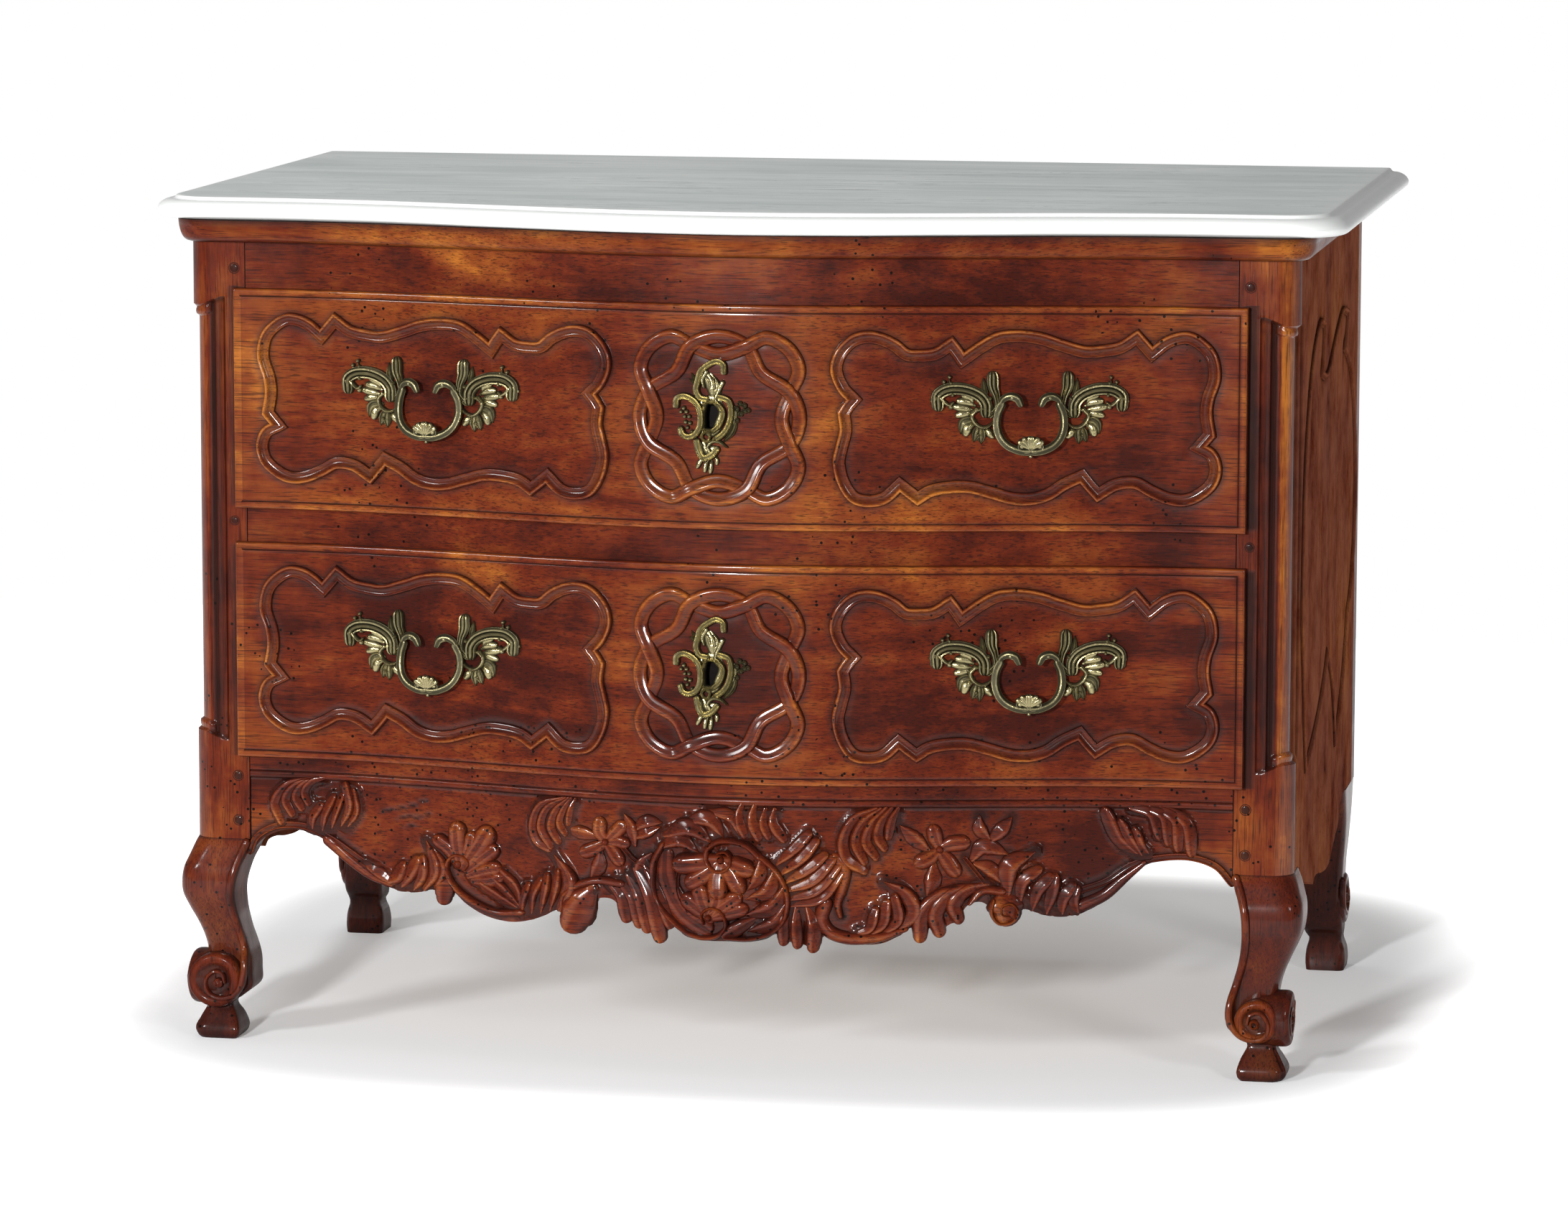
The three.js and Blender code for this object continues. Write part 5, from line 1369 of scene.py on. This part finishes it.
def side_board(side, word):
    """A side board with its mitred frame, the old gouges and the column's flat back edge"""
    carving = Carving()
    place = on_side(side)
    carving.mitred_frame(place, SIDE_FRAME, SIDE_MOULDING, towards=(side, 0, 0), reach=11)
    u = np.unique(np.concatenate([even(SIDE_NEAR, 52, 1.6), even(52, SIDE_FAR, 4)]))
    edge = smooth_line(SIDE_EDGE, 3)
    bottom = np.interp(u, edge[:, 0], edge[:, 1])
    share = np.linspace(0, 1, 170)
    face = CARCASS_TOP + (bottom[:, None] - CARCASS_TOP) * share
    across = u[:, None] + 0 * face
    gap = carving.distances(across, face)
    lift = -1.2 * np.exp(-((gap / 9) ** 2))
    # Grime and painted shade beside the frame's moulding and in the gouges
    grime = np.clip(1 - (gap - 4) / 8, 0, 1) ** 1.5 * 0.6
    for y, z, wide, high in SIDE_GOUGES:
        gouge = dent(across - y - 0.2 * (face - z), face - z, wide, high)
        lift, grime = lift - 5 * gouge, np.maximum(grime, gouge)
    column = np.interp(face, [346, 354, 817, 825], [0, 1, 1, 0])
    lift = lift - column * np.interp(across, [24, 33, 34.5, 36, 45, 47, 49], [6.5, 6, 8, 4.5, 3, 3.6, 0])
    # Grime and painted shade in the groove of the column's flat back edge
    darkening = np.interp(across, [24, 33, 34.5, 36, 44, 47, 50], [0.3, 0.4, 1, 0.3, 0, 0.8, 0])
    grime = np.maximum(grime, column * darkening)
    rows = np.concatenate([face, bottom[:, None], np.full((len(u), 1), CARCASS_TOP)], axis=1)
    lifts = np.concatenate([lift, np.full((len(u), 2), -SIDE_THICK)], axis=1)
    grime = np.concatenate([grime, np.full((len(u), 2), 0.4)], axis=1)
    carving.sheet(place(u[:, None] + 0 * rows, rows, lifts), grime, wrap=True)
    wood = fine_walnut("upright", 0.02, 0.0)
    carving.piece(f"carved_side_{word}", wood, f"side_board_{word}", crease=45)


# Drawers

# The runs of the left panel's frame on the upper drawer, which meet at mitred corners
PANEL_FRAME = (
    (
        (-519, 706), (-515.5, 728), (-517, 744), (-524, 768), (-520, 790), (-508, 803), (-496, 809),
        (-484, 808), (-472, 803), (-457, 791),
    ),
    ((-457, 791), (-449, 800), (-441, 809)),
    (
        (-441, 809), (-424, 798), (-404, 794), (-387, 793), (-361, 800), (-340, 807), (-317, 810), (-296, 808),
        (-279, 799), (-258, 784),
    ),
    ((-258, 784), (-252, 793), (-246, 801)),
    (
        (-246, 801), (-230, 791), (-213, 789), (-200, 790), (-187, 800), (-172, 807), (-158, 809), (-144, 805),
        (-130, 790), (-126, 774), (-133, 755), (-145, 742),
    ),
    ((-145, 742), (-139, 735), (-134, 727)),
    (
        (-134, 727), (-136, 709), (-132, 691), (-129, 675), (-134, 653), (-145, 637), (-159, 633), (-176, 636),
        (-193, 651),
    ),
    ((-193, 651), (-203, 643), (-212, 636)),
    (
        (-212, 636), (-225, 644), (-246, 648), (-266, 648), (-289, 642), (-310, 636), (-330, 635), (-348, 640),
        (-365, 651), (-384, 660),
    ),
    ((-384, 660), (-392, 650), (-401, 640)),
    (
        (-401, 640), (-420, 651), (-440, 653), (-458, 644), (-475, 637), (-492, 635), (-506, 640), (-522, 654),
        (-526, 670), (-521, 684), (-507, 692),
    ),
    ((-507, 692), (-513, 699), (-519, 706)),
)
# A quarter of each band of the knot, and how far it sinks where it crosses under
KNOT_LOBES = ((30, 77, 1), (52, 86.5, 0), (76, 74, 0), (86, 52, 0), (77, 28, -1), (68, 0, 0))
KNOT_WAIST = ((0, 87.5, 0), (30, 77, -1), (46, 49, 0), (77, 28, 1), (87, 0, 0))
KNOT_SINK = 1.9
KEYHOLE_LEFT, KEYHOLE_RIGHT, KEYHOLE_HALF, KEYHOLE_DEPTH = -14.4, -2.0, 13.0, 10.6
FRONT_STEP = 2.6


def knot_bands():
    """The two bands of the knot, clockwise: place and whether they cross over (1), under (-1) or lie free (0)"""
    lobes, waist = [], []
    quarter = ((1, 1), (1, -1), (-1, -1), (-1, 1))
    for turn, (a, b) in enumerate(quarter):
        lobe = list(KNOT_LOBES[:5]) if turn % 2 == 0 else [(x, z, -way) for x, z, way in KNOT_LOBES[4::-1]]
        lobes += [(a * x, b * z, way) for x, z, way in lobe]
        lobes.append((a * 68, 0, 0) if turn % 2 == 0 else (0, b * 68, 0))
        band = list(KNOT_WAIST[1:4]) if turn % 2 == 0 else [(x, z, -way) for x, z, way in KNOT_WAIST[3:0:-1]]
        waist += [(a * x, b * z, way) for x, z, way in band]
        waist.append((a * 87, 0, 0) if turn % 2 == 0 else (0, b * 87.5, 0))
    return lobes, waist


def encloses(loop, across, height):
    """Whether each point lies inside the closed line"""
    inside = np.zeros(across.shape, bool)
    for (x0, z0), (x1, z1) in zip(loop, np.roll(loop, -1, axis=0)):
        if z0 != z1:
            inside ^= ((z0 > height) != (z1 > height)) & (across < x0 + (x1 - x0) * (height - z0) / (z1 - z0))
    return inside


def front_mouldings(carving, place, middle):
    """Cuts both panel frames and the knot, and returns their closed lines"""
    raised = np.asarray(FRAME_MOULDING) * (1, FRAME_RISE, 1)
    shift = middle - DRAWER_MIDDLES["upper"]
    left = [[(u, v + shift) for u, v in run] for run in PANEL_FRAME]
    right = [[(-u, v) for u, v in run][::-1] for run in reversed(left)]
    loops = []
    for runs in (left, right):
        carving.mitred_frame(place, runs, raised)
        loops.append(np.vstack([smooth_line(run, 3)[:-1] for run in runs]))
    crossing = {1: size_of("knot_rise"), 0: 0, -1: -KNOT_SINK}
    for band in knot_bands():
        knots = [(u, v + middle, crossing[way]) for u, v, way in band]
        carving.closed_band(place, knots, KNOT_BAND)
        loops.append(smooth_line(knots, 3, closed=True)[:, :2])
    return loops


def front_lines(bottom, top):
    """The lines across and up on which the points of a front's face lie, closer at its rim and keyhole"""
    edges = np.array([0, 0.4, 1.0, 1.9, 3.4, 5.4, 7.4, 8.0, 8.6, 9.2, 10, 12])
    keyhole = [KEYHOLE_LEFT - 0.4, KEYHOLE_LEFT + 0.2, KEYHOLE_RIGHT - 0.2, KEYHOLE_RIGHT + 0.4]
    u = [-LIP_HALF + edges, even(-LIP_HALF + 14, LIP_HALF - 14, FRONT_STEP), LIP_HALF - edges, keyhole]
    v = [bottom + edges, even(bottom + 14, top - 14, FRONT_STEP), top - edges]
    return [np.unique(np.round(np.concatenate(lines), 3)) for lines in (u, v)]


def front_face(carving, place, u, v, middle, loops):
    """The face with its bead round the rim, the ground sunk beside the mouldings, and the keyhole"""
    across, height = np.meshgrid(u, v, indexing="ij")
    rim = np.minimum(LIP_HALF - np.abs(across), np.minimum(height - v[0], v[-1] - height))
    lift = np.interp(rim, [0, 0.4, 1.0, 1.9, 7.4, 8.0, 8.6, 9.2, 10], [-5, -2.4, -0.8, 0, 0, -1.2, -1.2, -0.2, 0])
    # Grime and painted shade in the groove inside the rim; the rim itself is rubbed
    grime = np.interp(rim, [0, 0.4, 1.0, 7.2, 7.8, 8.8, 9.4, 11], [0.6, 0.1, -0.25, -0.1, 0.95, 0.95, 0.3, 0])
    plain = (rim > 3.4) & (rim < 10) & (rim == LIP_HALF + across)
    lift, grime = np.where(plain, 0, lift), np.where(plain, -0.2, grime)
    gap, inside = carving.distances(across, height), rim > 9.5
    lift = lift - inside * 0.9 * np.exp(-((gap / 11) ** 2))
    # Grime and painted shade beside the mouldings
    settled_grime_and_shade = np.clip(1 - (gap - 6.5) / 8, 0, 1) ** 1.4 * 0.75
    grime = np.where(inside, np.maximum(grime, settled_grime_and_shade), grime)
    rise = np.abs(height - middle)
    slot = (across > KEYHOLE_LEFT) & (across < KEYHOLE_RIGHT) & (rise < KEYHOLE_HALF)
    # The keyhole's slot and the wood round it are painted near-black: painted shade inside the keyhole
    keyhole_shade = (across > KEYHOLE_LEFT - 1) & (across < KEYHOLE_RIGHT + 5) & (rise < KEYHOLE_HALF + 2)
    lift, grime = np.where(slot, -KEYHOLE_DEPTH, lift), np.where(keyhole_shade, 2, grime)
    red = np.any([encloses(loop, across, height) for loop in loops], axis=0) * np.clip(gap / 14, 0, 1)
    red = red - 0.2 * np.interp(rim, [0, 9, 14, 40], [1, 1, 0.6, 0])
    carving.sheet(place(across, height, lift), grime, towards=FORWARD, red=red)


def front_edge(carving, place, u, v):
    """The rounded edge of the lip, all the way round, from the face to its back"""
    lift, out = np.array([(-5, 0), (-7, 0.2), (-8.2, -0.8), (-8.8, -1.2), (-11.7, -1.2)]).T[:, :, None]
    across = np.concatenate([u, 0 * v + LIP_HALF, u[::-1], 0 * v - LIP_HALF])
    height = np.concatenate([0 * u + v[-1], v[::-1], 0 * u + v[0], v])
    aside = np.concatenate([0 * u, 0 * v + 1, 0 * u, 0 * v - 1])
    upward = np.concatenate([0 * u + 1, 0 * v, 0 * u - 1, 0 * v])
    loop = place(across + aside * out, height + upward * out, lift + 0 * across)
    # The lip's edge is painted darker towards its back: painted shade under the proud lip
    carving.sheet(loop, np.array([0.5, 0.6, 0.8, 0.8, 1])[:, None], wrap=True)


def drawer_front(word):
    """A lipped, bowed front with its two framed panels, the knot and the keyhole"""
    bottom, top = (UPPER_BOTTOM, UPPER_TOP) if word == "upper" else (LOWER_BOTTOM, LOWER_TOP)
    middle = DRAWER_MIDDLES[word]
    carving = Carving()
    place = on_front(LIP_PROUD)
    loops = front_mouldings(carving, place, middle)
    u, v = front_lines(bottom, top)
    front_face(carving, place, u, v, middle, loops)
    front_edge(carving, place, u, v)
    # The back of the lip, then the tongue that goes into the opening
    carving.block(place, even(-LIP_HALF + 1, LIP_HALF - 1, 8), bottom + 1, top - 1, -11, -11.7)
    tongue = even(-HALF_OPENING + 1.5, HALF_OPENING - 1.5, 8)
    carving.block(place, tongue, bottom + 11.5, top - 11.5, -11.2, -LIP_PROUD - TONGUE)
    wood = fine_walnut("across", -0.01 if word == "upper" else -0.05)
    carving.piece(f"carved_front_{word}", wood, f"drawer_{word}_front", f"drawer_{word}", crease=42)


# Brass handles and escutcheons

# Strokes of one half of a handle, from its middle: kind, width, height, lift and the knots
HANDLE_PLATE = (
    ("lobe", 7, 5, 0, (-59, 15), (-67, 19), (-75, 20)),
    ("lobe", 7, 5, 0, (-61, 18), (-64, 24), (-70, 26)),
    ("lobe", 7, 5, 0, (-61, 10), (-69, 12), (-79, 14)),
    ("lobe", 7, 5, 0, (-61, 5), (-67, 7), (-76, 5)),
    ("leaf", 10, 6, 0, (-59, -1), (-69, -3), (-74, -15)),
    ("lobe", 8, 6, 0, (-59, -4), (-66, -8), (-68, -14)),
    ("leaf", 8, 6, 0, (-55, -7), (-57, -15), (-60, -24)),
    ("leaf", 8, 6, 0, (-52, -8), (-52, -17), (-52, -26)),
    ("lobe", 7, 6, 0, (-47, -8), (-44, -13), (-41, -17)),
    ("lobe", 6, 6, 0, (-91, 26), (-99, 24), (-103, 21)),
    ("taper", 2, 4, 1, (-89, 33), (-91, 37), (-92, 40)),
    ("taper", 2, 4, 1, (-87, 33), (-86, 38), (-86, 44)),
    ("leaf", 5.5, 6, 0, (-46, 22), (-49, 34), (-50, 45)),
    (
        "ribs", 11.5, 9, 0, (-98, 16), (-98, 26), (-90, 32), (-77, 33.5), (-64, 31), (-53, 25), (-47.5, 17),
        (-47, 9),
    ),
    ("taper", 4, 7, 1, (-95, 23), (-91, 19), (-86, 16), (-82, 19)),
    ("flare", 10, 9, 0, (-43, 5), (-35, 14), (-36, 25), (-39.5, 36), (-40, 46)),
    ("taper", 4, 8, 0, (-57, 11), (-62, 5), (-59, -3), (-51, -8), (-43, -6), (-37, 0)),
    ("taper", 3, 7, 0, (-57, 10), (-50, 12), (-43, 9), (-38, 4)),
)
HANDLE_BEADS = (
    (-86, 46, 2.3, 7), (-92, 41, 2.3, 7), (-84.5, 39.5, 2.2, 7), (-83, 27, 2.4, 10), (-43, 23, 2.4, 11),
    (-56, -16, 2, 8), (-84.5, 14, 3.2, 7),
)
HANDLE_ARCH = (
    (-31, 17, 9), (-35, 7, 7), (-36, -7, 8), (-32, -19, 11), (-25, -26.5, 13), (-16, -31, 14.5), (-8, -33, 15),
    (1, -33, 15),
)
HANDLE_CURL = ((-33, 13, 8), (-30, 22, 11), (-23, 26, 13), (-15, 24, 14), (-11.5, 18, 14))
HANDLE_FOLD = (
    (2, -29, 17), (-2, -33, 17), (-9, -32.5, 16.5), (-13, -28, 16.5), (-10, -22.5, 17.5), (-5, -22.5, 18),
)


def stud(carving, place, u, v, length):
    """A threaded stud behind a plate, through the drawer front"""
    turns = np.linspace(0, 2 * math.pi, 13)[:-1]
    ring = np.stack([u + 2.6 * np.cos(turns), v + 2.6 * np.sin(turns)])
    depth = np.linspace(1, -length, 12)[:, None] * np.ones(12)
    carving.sheet(place(ring[0] + 0 * depth, ring[1] + 0 * depth, depth), 0.3, wrap=True)


def handle(word, side, side_word):
    """A pull: two leafy plates, the arched grip between them and the shell on it, in one casting"""
    carving = Carving()
    middle = (on_front(LIP_PROUD), side * HANDLE_ACROSS, DRAWER_MIDDLES[word])
    for end in (1, -1):
        place = centred(*middle, -end * HANDLE_SPREAD)
        for kind, width, height, lift, *knots in HANDLE_PLATE:
            if kind == "ribs":
                carving.stroke(place, knots, width * 1.25, height, "band", RIBS, base=lift, step=1.3)
            else:
                carving.stroke(place, knots, width * 1.4, height, kind, base=lift, step=1.3)
        for u, v, radius, height in HANDLE_BEADS:
            carving.boss(place, (u, v), radius, height)
        carving.stroke(place, HANDLE_ARCH, size_of("grip_width"), 3.8, "band", RIBBED_TUBE, step=1.3, tube=True)
        carving.stroke(place, HANDLE_CURL, 8.8, 3.8, "lobe", RIBBED_TUBE, step=1.3, tube=True)
        carving.stroke(place, HANDLE_FOLD, 4, 2, "taper", RIBBED_TUBE, step=1.1, tube=True)
        for u, v, lift in ((-20, 25, 14), (-9.5, -27, 17)):
            carving.boss(place, (u, v), 2.8, 3, base=lift)
        for u, v in ((-1.5, -19), (-7, -20), (-11, -23)):
            petal = [(-1, -29, 16), ((u - 1) / 2, (v - 29) / 2, 17), (u, v, 17)]
            carving.stroke(place, petal, 7, 4.5, "petal", step=1.1)
        stud(carving, place, -64, 10, LIP_PROUD + TONGUE + 9)
    carving.boss(centred(*middle), (0, -38), 2.2, 3, base=13)
    node = f"handle_{word}_{side_word}"
    carving.piece(f"pull_{word}_{side_word}", cast_brass(), node, f"drawer_{word}", crease=50)


ESCUTCHEON = (
    ("lobe", 9, 3, (-13, 48), (-8, 38), (-4, 28)),
    ("lobe", 10, 3, (-6, 46), (-1, 36), (1, 24)),
    ("lobe", 7, 3.4, (-16, 19), (-16.5, 0), (-15, -15)),
    ("lobe", 9, 3.4, (4, 18), (7, 4), (1, -12)),
    ("lobe", 7, 3, (-15, 19), (-6, 21), (4, 19)),
    ("lobe", 7, 3, (-14, -16), (-6, -17), (0, -15)),
    ("lobe", 9, 3, (-14, -28), (-9, -36), (-3, -34)),
    ("lobe", 8, 3, (12, 20), (19, 8), (16, -10)),
    ("taper", 5, 6, (-11, 49), (-15, 41), (-13, 33)),
    ("lobe", 3.6, 6, (-11, 46), (-8, 41), (-6, 34)),
    ("lobe", 3.6, 6, (-7, 46), (-3, 40), (-1, 32)),
    ("lobe", 3.6, 6, (-3, 45), (2, 38), (3, 29)),
    ("lobe", 9, 3.5, (-12, 50), (-6, 38), (-4, 26)),
    ("taper", 5, 7, (7, 38), (3, 29), (0, 19), (6, 14)),
    ("leaf", 3.6, 5, (-19, 40), (-24, 43), (-27, 48)),
    ("leaf", 3.6, 5, (-19, 37), (-24, 38), (-29, 41)),
    ("band", 3.3, 6, (-11, 17), (-13.5, 4), (-13, -13)),
    ("band", 3.1, 6, (-14, 14), (-6, 17), (2, 16)),
    ("band", 2.8, 6, (-14, -12), (-7, -13.5), (0, -13)),
    ("band", 5, 7, (0, 17), (8, 7), (4.5, -7), (-3, -14)),
    ("leaf", 6, 6, (22, 2), (18, -14), (7, -27)),
    ("band", 5.6, 8, (4, 23), (14, 19), (17, 6), (14, -8), (8, -17), (0, -23)),
    (
        "band", 6, 8, (-43, 13), (-42, 20), (-35, 23), (-26, 20), (-19, 13), (-16, 1), (-17, -10), (-22, -18),
        (-30, -21), (-36, -18), (-38, -13),
    ),
    (
        "band", 5.8, 8, (9, 50), (8, 58), (1, 61), (-8, 57), (-16, 50), (-19, 40), (-21, 30), (-17, 22),
        (-10, 20),
    ),
    ("band", 2.8, 6, (-6, -20), (-8, -25), (-13, -24), (-15, -19), (-11, -15), (-6, -17)),
    ("band", 6.2, 8, (-20, -26), (-18, -36), (-13, -43), (-4, -40), (1, -34)),
    ("taper", 4.6, 8, (-6, -37), (-9, -31), (-3, -25), (5, -26), (12, -31)),
    ("lobe", 5, 6, (-9, -43), (-16, -46), (-20, -53)),
    ("lobe", 4.8, 6, (-8, -44), (-11, -50), (-12, -57)),
    ("lobe", 4.8, 6, (-5, -44), (-5, -50), (-6, -58)),
    ("lobe", 4.4, 6, (-3, -42), (1, -44), (1, -49)),
)
ESCUTCHEON_BEADS = (
    (-35, 10, 2.6), (-38, 6, 2.4), (-32, 6, 2.6), (-29, 1, 2.4), (-33, -5, 2.6), (-28, -6, 2.5),
    (-31, -11, 2.4), (-26, -15, 2.2), (-34, 1, 2.4), (26, 16, 3.4), (31, 14, 3.4), (23, 10, 3.4), (31, 8, 3.4),
    (27, 5, 3.4), (35, 9, 3.2), (23, -2, 3.2), (-8, -34, 2),
)


def escutcheon(word):
    """The pierced keyhole plate of a drawer"""
    carving = Carving()
    place = centred(on_front(LIP_PROUD), ESCUTCHEON_ACROSS, DRAWER_MIDDLES[word])
    for kind, width, height, *knots in ESCUTCHEON:
        section = CAST_BAND if kind == "band" else None
        carving.stroke(place, knots, width * 1.3, height, kind, section, base=-0.3, step=1.2)
    for u, v, radius in ESCUTCHEON_BEADS:
        carving.boss(place, (u, v), radius, 6.5, dimple=u > 20)
    carving.piece(f"keyplate_{word}", cast_brass(), f"escutcheon_{word}", f"drawer_{word}", crease=50)


# Settings, operators and the panel


def length_setting(name, description, metres):
    return FloatProperty(name=name, description=description, default=metres, min=0, precision=4, unit="LENGTH")


def amount(name, description, default, **more):
    return FloatProperty(name=name, description=description, default=default, min=0, **more)


def colour_setting(name, description, colour):
    return FloatVectorProperty(name=name, description=description, default=colour, subtype="COLOR", min=0, max=1)


class CommodeSizes(bpy.types.PropertyGroup):
    scroll_radius: length_setting("Scroll radius", "Radius of the scrolls on the legs", 0.031)
    peg_radius: length_setting("Peg radius", "Radius of the wooden pegs in the stiles", 0.005)
    ground_depth: length_setting("Ground depth", "How far the apron's ground is cut back", 0.0024)
    knot_rise: length_setting("Knot rise", "How far a band of the knot rises where it crosses over", 0.0024)
    grip_width: length_setting("Grip width", "Width of the arched grip of a pull", 0.0086)


class CommodeFinish(bpy.types.PropertyGroup):
    wood_dark: colour_setting("Dark walnut", "Deep reddish brown of the shaded figure", (0.030, 0.0050, 0.0030))
    wood_red: colour_setting("Red walnut", "Reddish brown ground of the boards", (0.078, 0.0115, 0.0040))
    wood_brown: colour_setting("Brown walnut", "Orange brown of the open figure", (0.138, 0.032, 0.0070))
    wood_gold: colour_setting("Golden walnut", "Golden bands where the wood has faded", (0.29, 0.095, 0.013))
    # This colour also paints the shade in hollows and creases
    wood_grime_and_shade: colour_setting("Grime", "Near-black wax and dust in the hollows", (0.008, 0.0035, 0.003))
    # Dusty bloom with a painted sheen that stands in for the side boards' own reflection
    wood_haze_and_sheen: colour_setting("Haze", "Dusty bloom on the side boards", (0.22, 0.083, 0.052))
    plain_wood: colour_setting("Plain wood", "Unfinished boards inside and behind", (0.42, 0.27, 0.15))
    brass: colour_setting("Brass", "Rubbed high parts of the castings", (0.29, 0.25, 0.13))
    brass_grime: colour_setting("Brass grime", "Brown patina in the hollows", (0.032, 0.028, 0.014))
    marble_pale: colour_setting("Pale marble", "Pale ground of the slab", (0.68, 0.71, 0.69))
    marble_grey: colour_setting("Grey marble", "Cool grey bands in the slab", (0.49, 0.54, 0.53))
    marble_edge: colour_setting("Marble edge", "Rubbed white of the moulded edge", (0.64, 0.645, 0.635))
    wax: amount("Wax", "Weight of the wax polish", 0.05, max=1, subtype="FACTOR")
    shine: amount("Shine", "Strength of the wood's own reflection", 0.035, max=1, subtype="FACTOR")
    sky: amount("Sky", "Strength of the soft light from the front and sides", 0.14)
    backdrop: amount("Backdrop", "Strength of the light from above and behind", 0.36)
    floor_glow: amount("Floor glow", "How much the white floor shines by itself", 0.14)
    key_power: amount("Key light", "Power of the light from the upper left", 150, unit="POWER")
    front_power: amount("Front light", "Power of the low light beside the camera", 345, unit="POWER")
    fill_power: amount("Fill light", "Power of the light from the right", 48, unit="POWER")
    top_power: amount("Top light", "Power of the light above", 26, unit="POWER")
    lens: amount("Lens", "Focal length of the camera", 148.4, unit="CAMERA")


class COMMODE_OT_stage(bpy.types.Operator):
    """Make the floor, the lights and the camera"""

    bl_idname = "commode.stage"
    bl_label = "Stage"

    def execute(self, context):
        context.scene.view_settings.view_transform = "Standard"
        for make in (sky, floor, lamps, viewpoint):
            make(context.scene.commode_finish)
        return {"FINISHED"}


class COMMODE_OT_marble(bpy.types.Operator):
    """Make the moulded marble slab"""

    bl_idname = "commode.marble"
    bl_label = "Marble top"

    def execute(self, context):
        marble_slab()
        return {"FINISHED"}


class COMMODE_OT_cornice(bpy.types.Operator):
    """Make the quarter-round mouldings under the marble"""

    bl_idname = "commode.cornice"
    bl_label = "Cornice"

    def execute(self, context):
        cornice()
        return {"FINISHED"}


class COMMODE_OT_stiles(bpy.types.Operator):
    """Make the fluted stiles with their scrolled legs"""

    bl_idname = "commode.stiles"
    bl_label = "Stiles and legs"

    def execute(self, context):
        for side, word in BOTH_SIDES:
            front_stile(side, word)
            rear_stile(side, word)
        return {"FINISHED"}


class COMMODE_OT_rails(bpy.types.Operator):
    """Make the bowed rails and the carved apron"""

    bl_idname = "commode.rails"
    bl_label = "Rails and apron"

    def execute(self, context):
        bowed_rail("bowed_rail_top", "top_rail", UPPER_TOP - LIP_OVERLAP, CARCASS_TOP, 34)
        bowed_rail("bowed_rail_middle", "middle_rail", LOWER_TOP - LIP_OVERLAP, UPPER_BOTTOM + LIP_OVERLAP, 34)
        apron()
        return {"FINISHED"}


class COMMODE_OT_sides(bpy.types.Operator):
    """Make the side boards with their carved outline"""

    bl_idname = "commode.sides"
    bl_label = "Side boards"

    def execute(self, context):
        for side, word in BOTH_SIDES:
            side_board(side, word)
        return {"FINISHED"}


class COMMODE_OT_drawer_fronts(bpy.types.Operator):
    """Make the carved fronts of both drawers"""

    bl_idname = "commode.drawer_fronts"
    bl_label = "Drawer fronts"

    def execute(self, context):
        for word in DRAWER_MIDDLES:
            drawer_front(word)
        return {"FINISHED"}


class COMMODE_OT_brasses(bpy.types.Operator):
    """Make the cast handles and the escutcheons"""

    bl_idname = "commode.brasses"
    bl_label = "Brasses"

    def execute(self, context):
        for word in DRAWER_MIDDLES:
            escutcheon(word)
            for side, side_word in BOTH_SIDES:
                handle(word, side, side_word)
        return {"FINISHED"}


def board_run(name):
    """Which way the grain of a plain board runs"""
    if name.startswith("back_board"):
        return "upright"
    return "deep" if name.startswith(("runner", "guide")) or name.endswith("_side") else "across"


class COMMODE_OT_inside(bpy.types.Operator):
    """Give the boards and locks inside their materials"""

    bl_idname = "commode.inside"
    bl_label = "Boards and locks"

    def execute(self, context):
        for name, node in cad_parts.items():
            if name.startswith(("nut_", "lock_")):
                paint = shared("dark_iron", dark_iron)
            else:
                run = board_run(name)
                paint = shared(f"plain_{run}", plain_wood, f"plain_{run}", run)
            for slot in node.material_slots:
                slot.material = paint
        return {"FINISHED"}


class COMMODE_PT_panel(bpy.types.Panel):
    """Lists the commode's finishes and the steps that make it"""

    bl_idname = "COMMODE_PT_panel"
    bl_label = "Commode"
    bl_space_type = "VIEW_3D"
    bl_region_type = "UI"
    bl_category = "Commode"

    def draw(self, context):
        for settings in (context.scene.commode_sizes, context.scene.commode_finish):
            for name in type(settings).__annotations__:
                self.layout.prop(settings, name)
        for step in STEPS:
            self.layout.operator(step.bl_idname)


STEPS = (
    COMMODE_OT_stage,
    COMMODE_OT_marble,
    COMMODE_OT_cornice,
    COMMODE_OT_stiles,
    COMMODE_OT_rails,
    COMMODE_OT_sides,
    COMMODE_OT_drawer_fronts,
    COMMODE_OT_brasses,
    COMMODE_OT_inside,
)


def register():
    for made in (CommodeSizes, CommodeFinish, *STEPS, COMMODE_PT_panel):
        bpy.utils.register_class(made)
    bpy.types.Scene.commode_sizes = PointerProperty(type=CommodeSizes)
    bpy.types.Scene.commode_finish = PointerProperty(type=CommodeFinish)


def unregister():
    del bpy.types.Scene.commode_finish, bpy.types.Scene.commode_sizes
    for made in (COMMODE_PT_panel, *reversed(STEPS), CommodeFinish, CommodeSizes):
        bpy.utils.unregister_class(made)


def main():
    register()
    for step in STEPS:
        family, name = step.bl_idname.split(".")
        getattr(getattr(bpy.ops, family), name)()


if __name__ == "__main__":
    main()
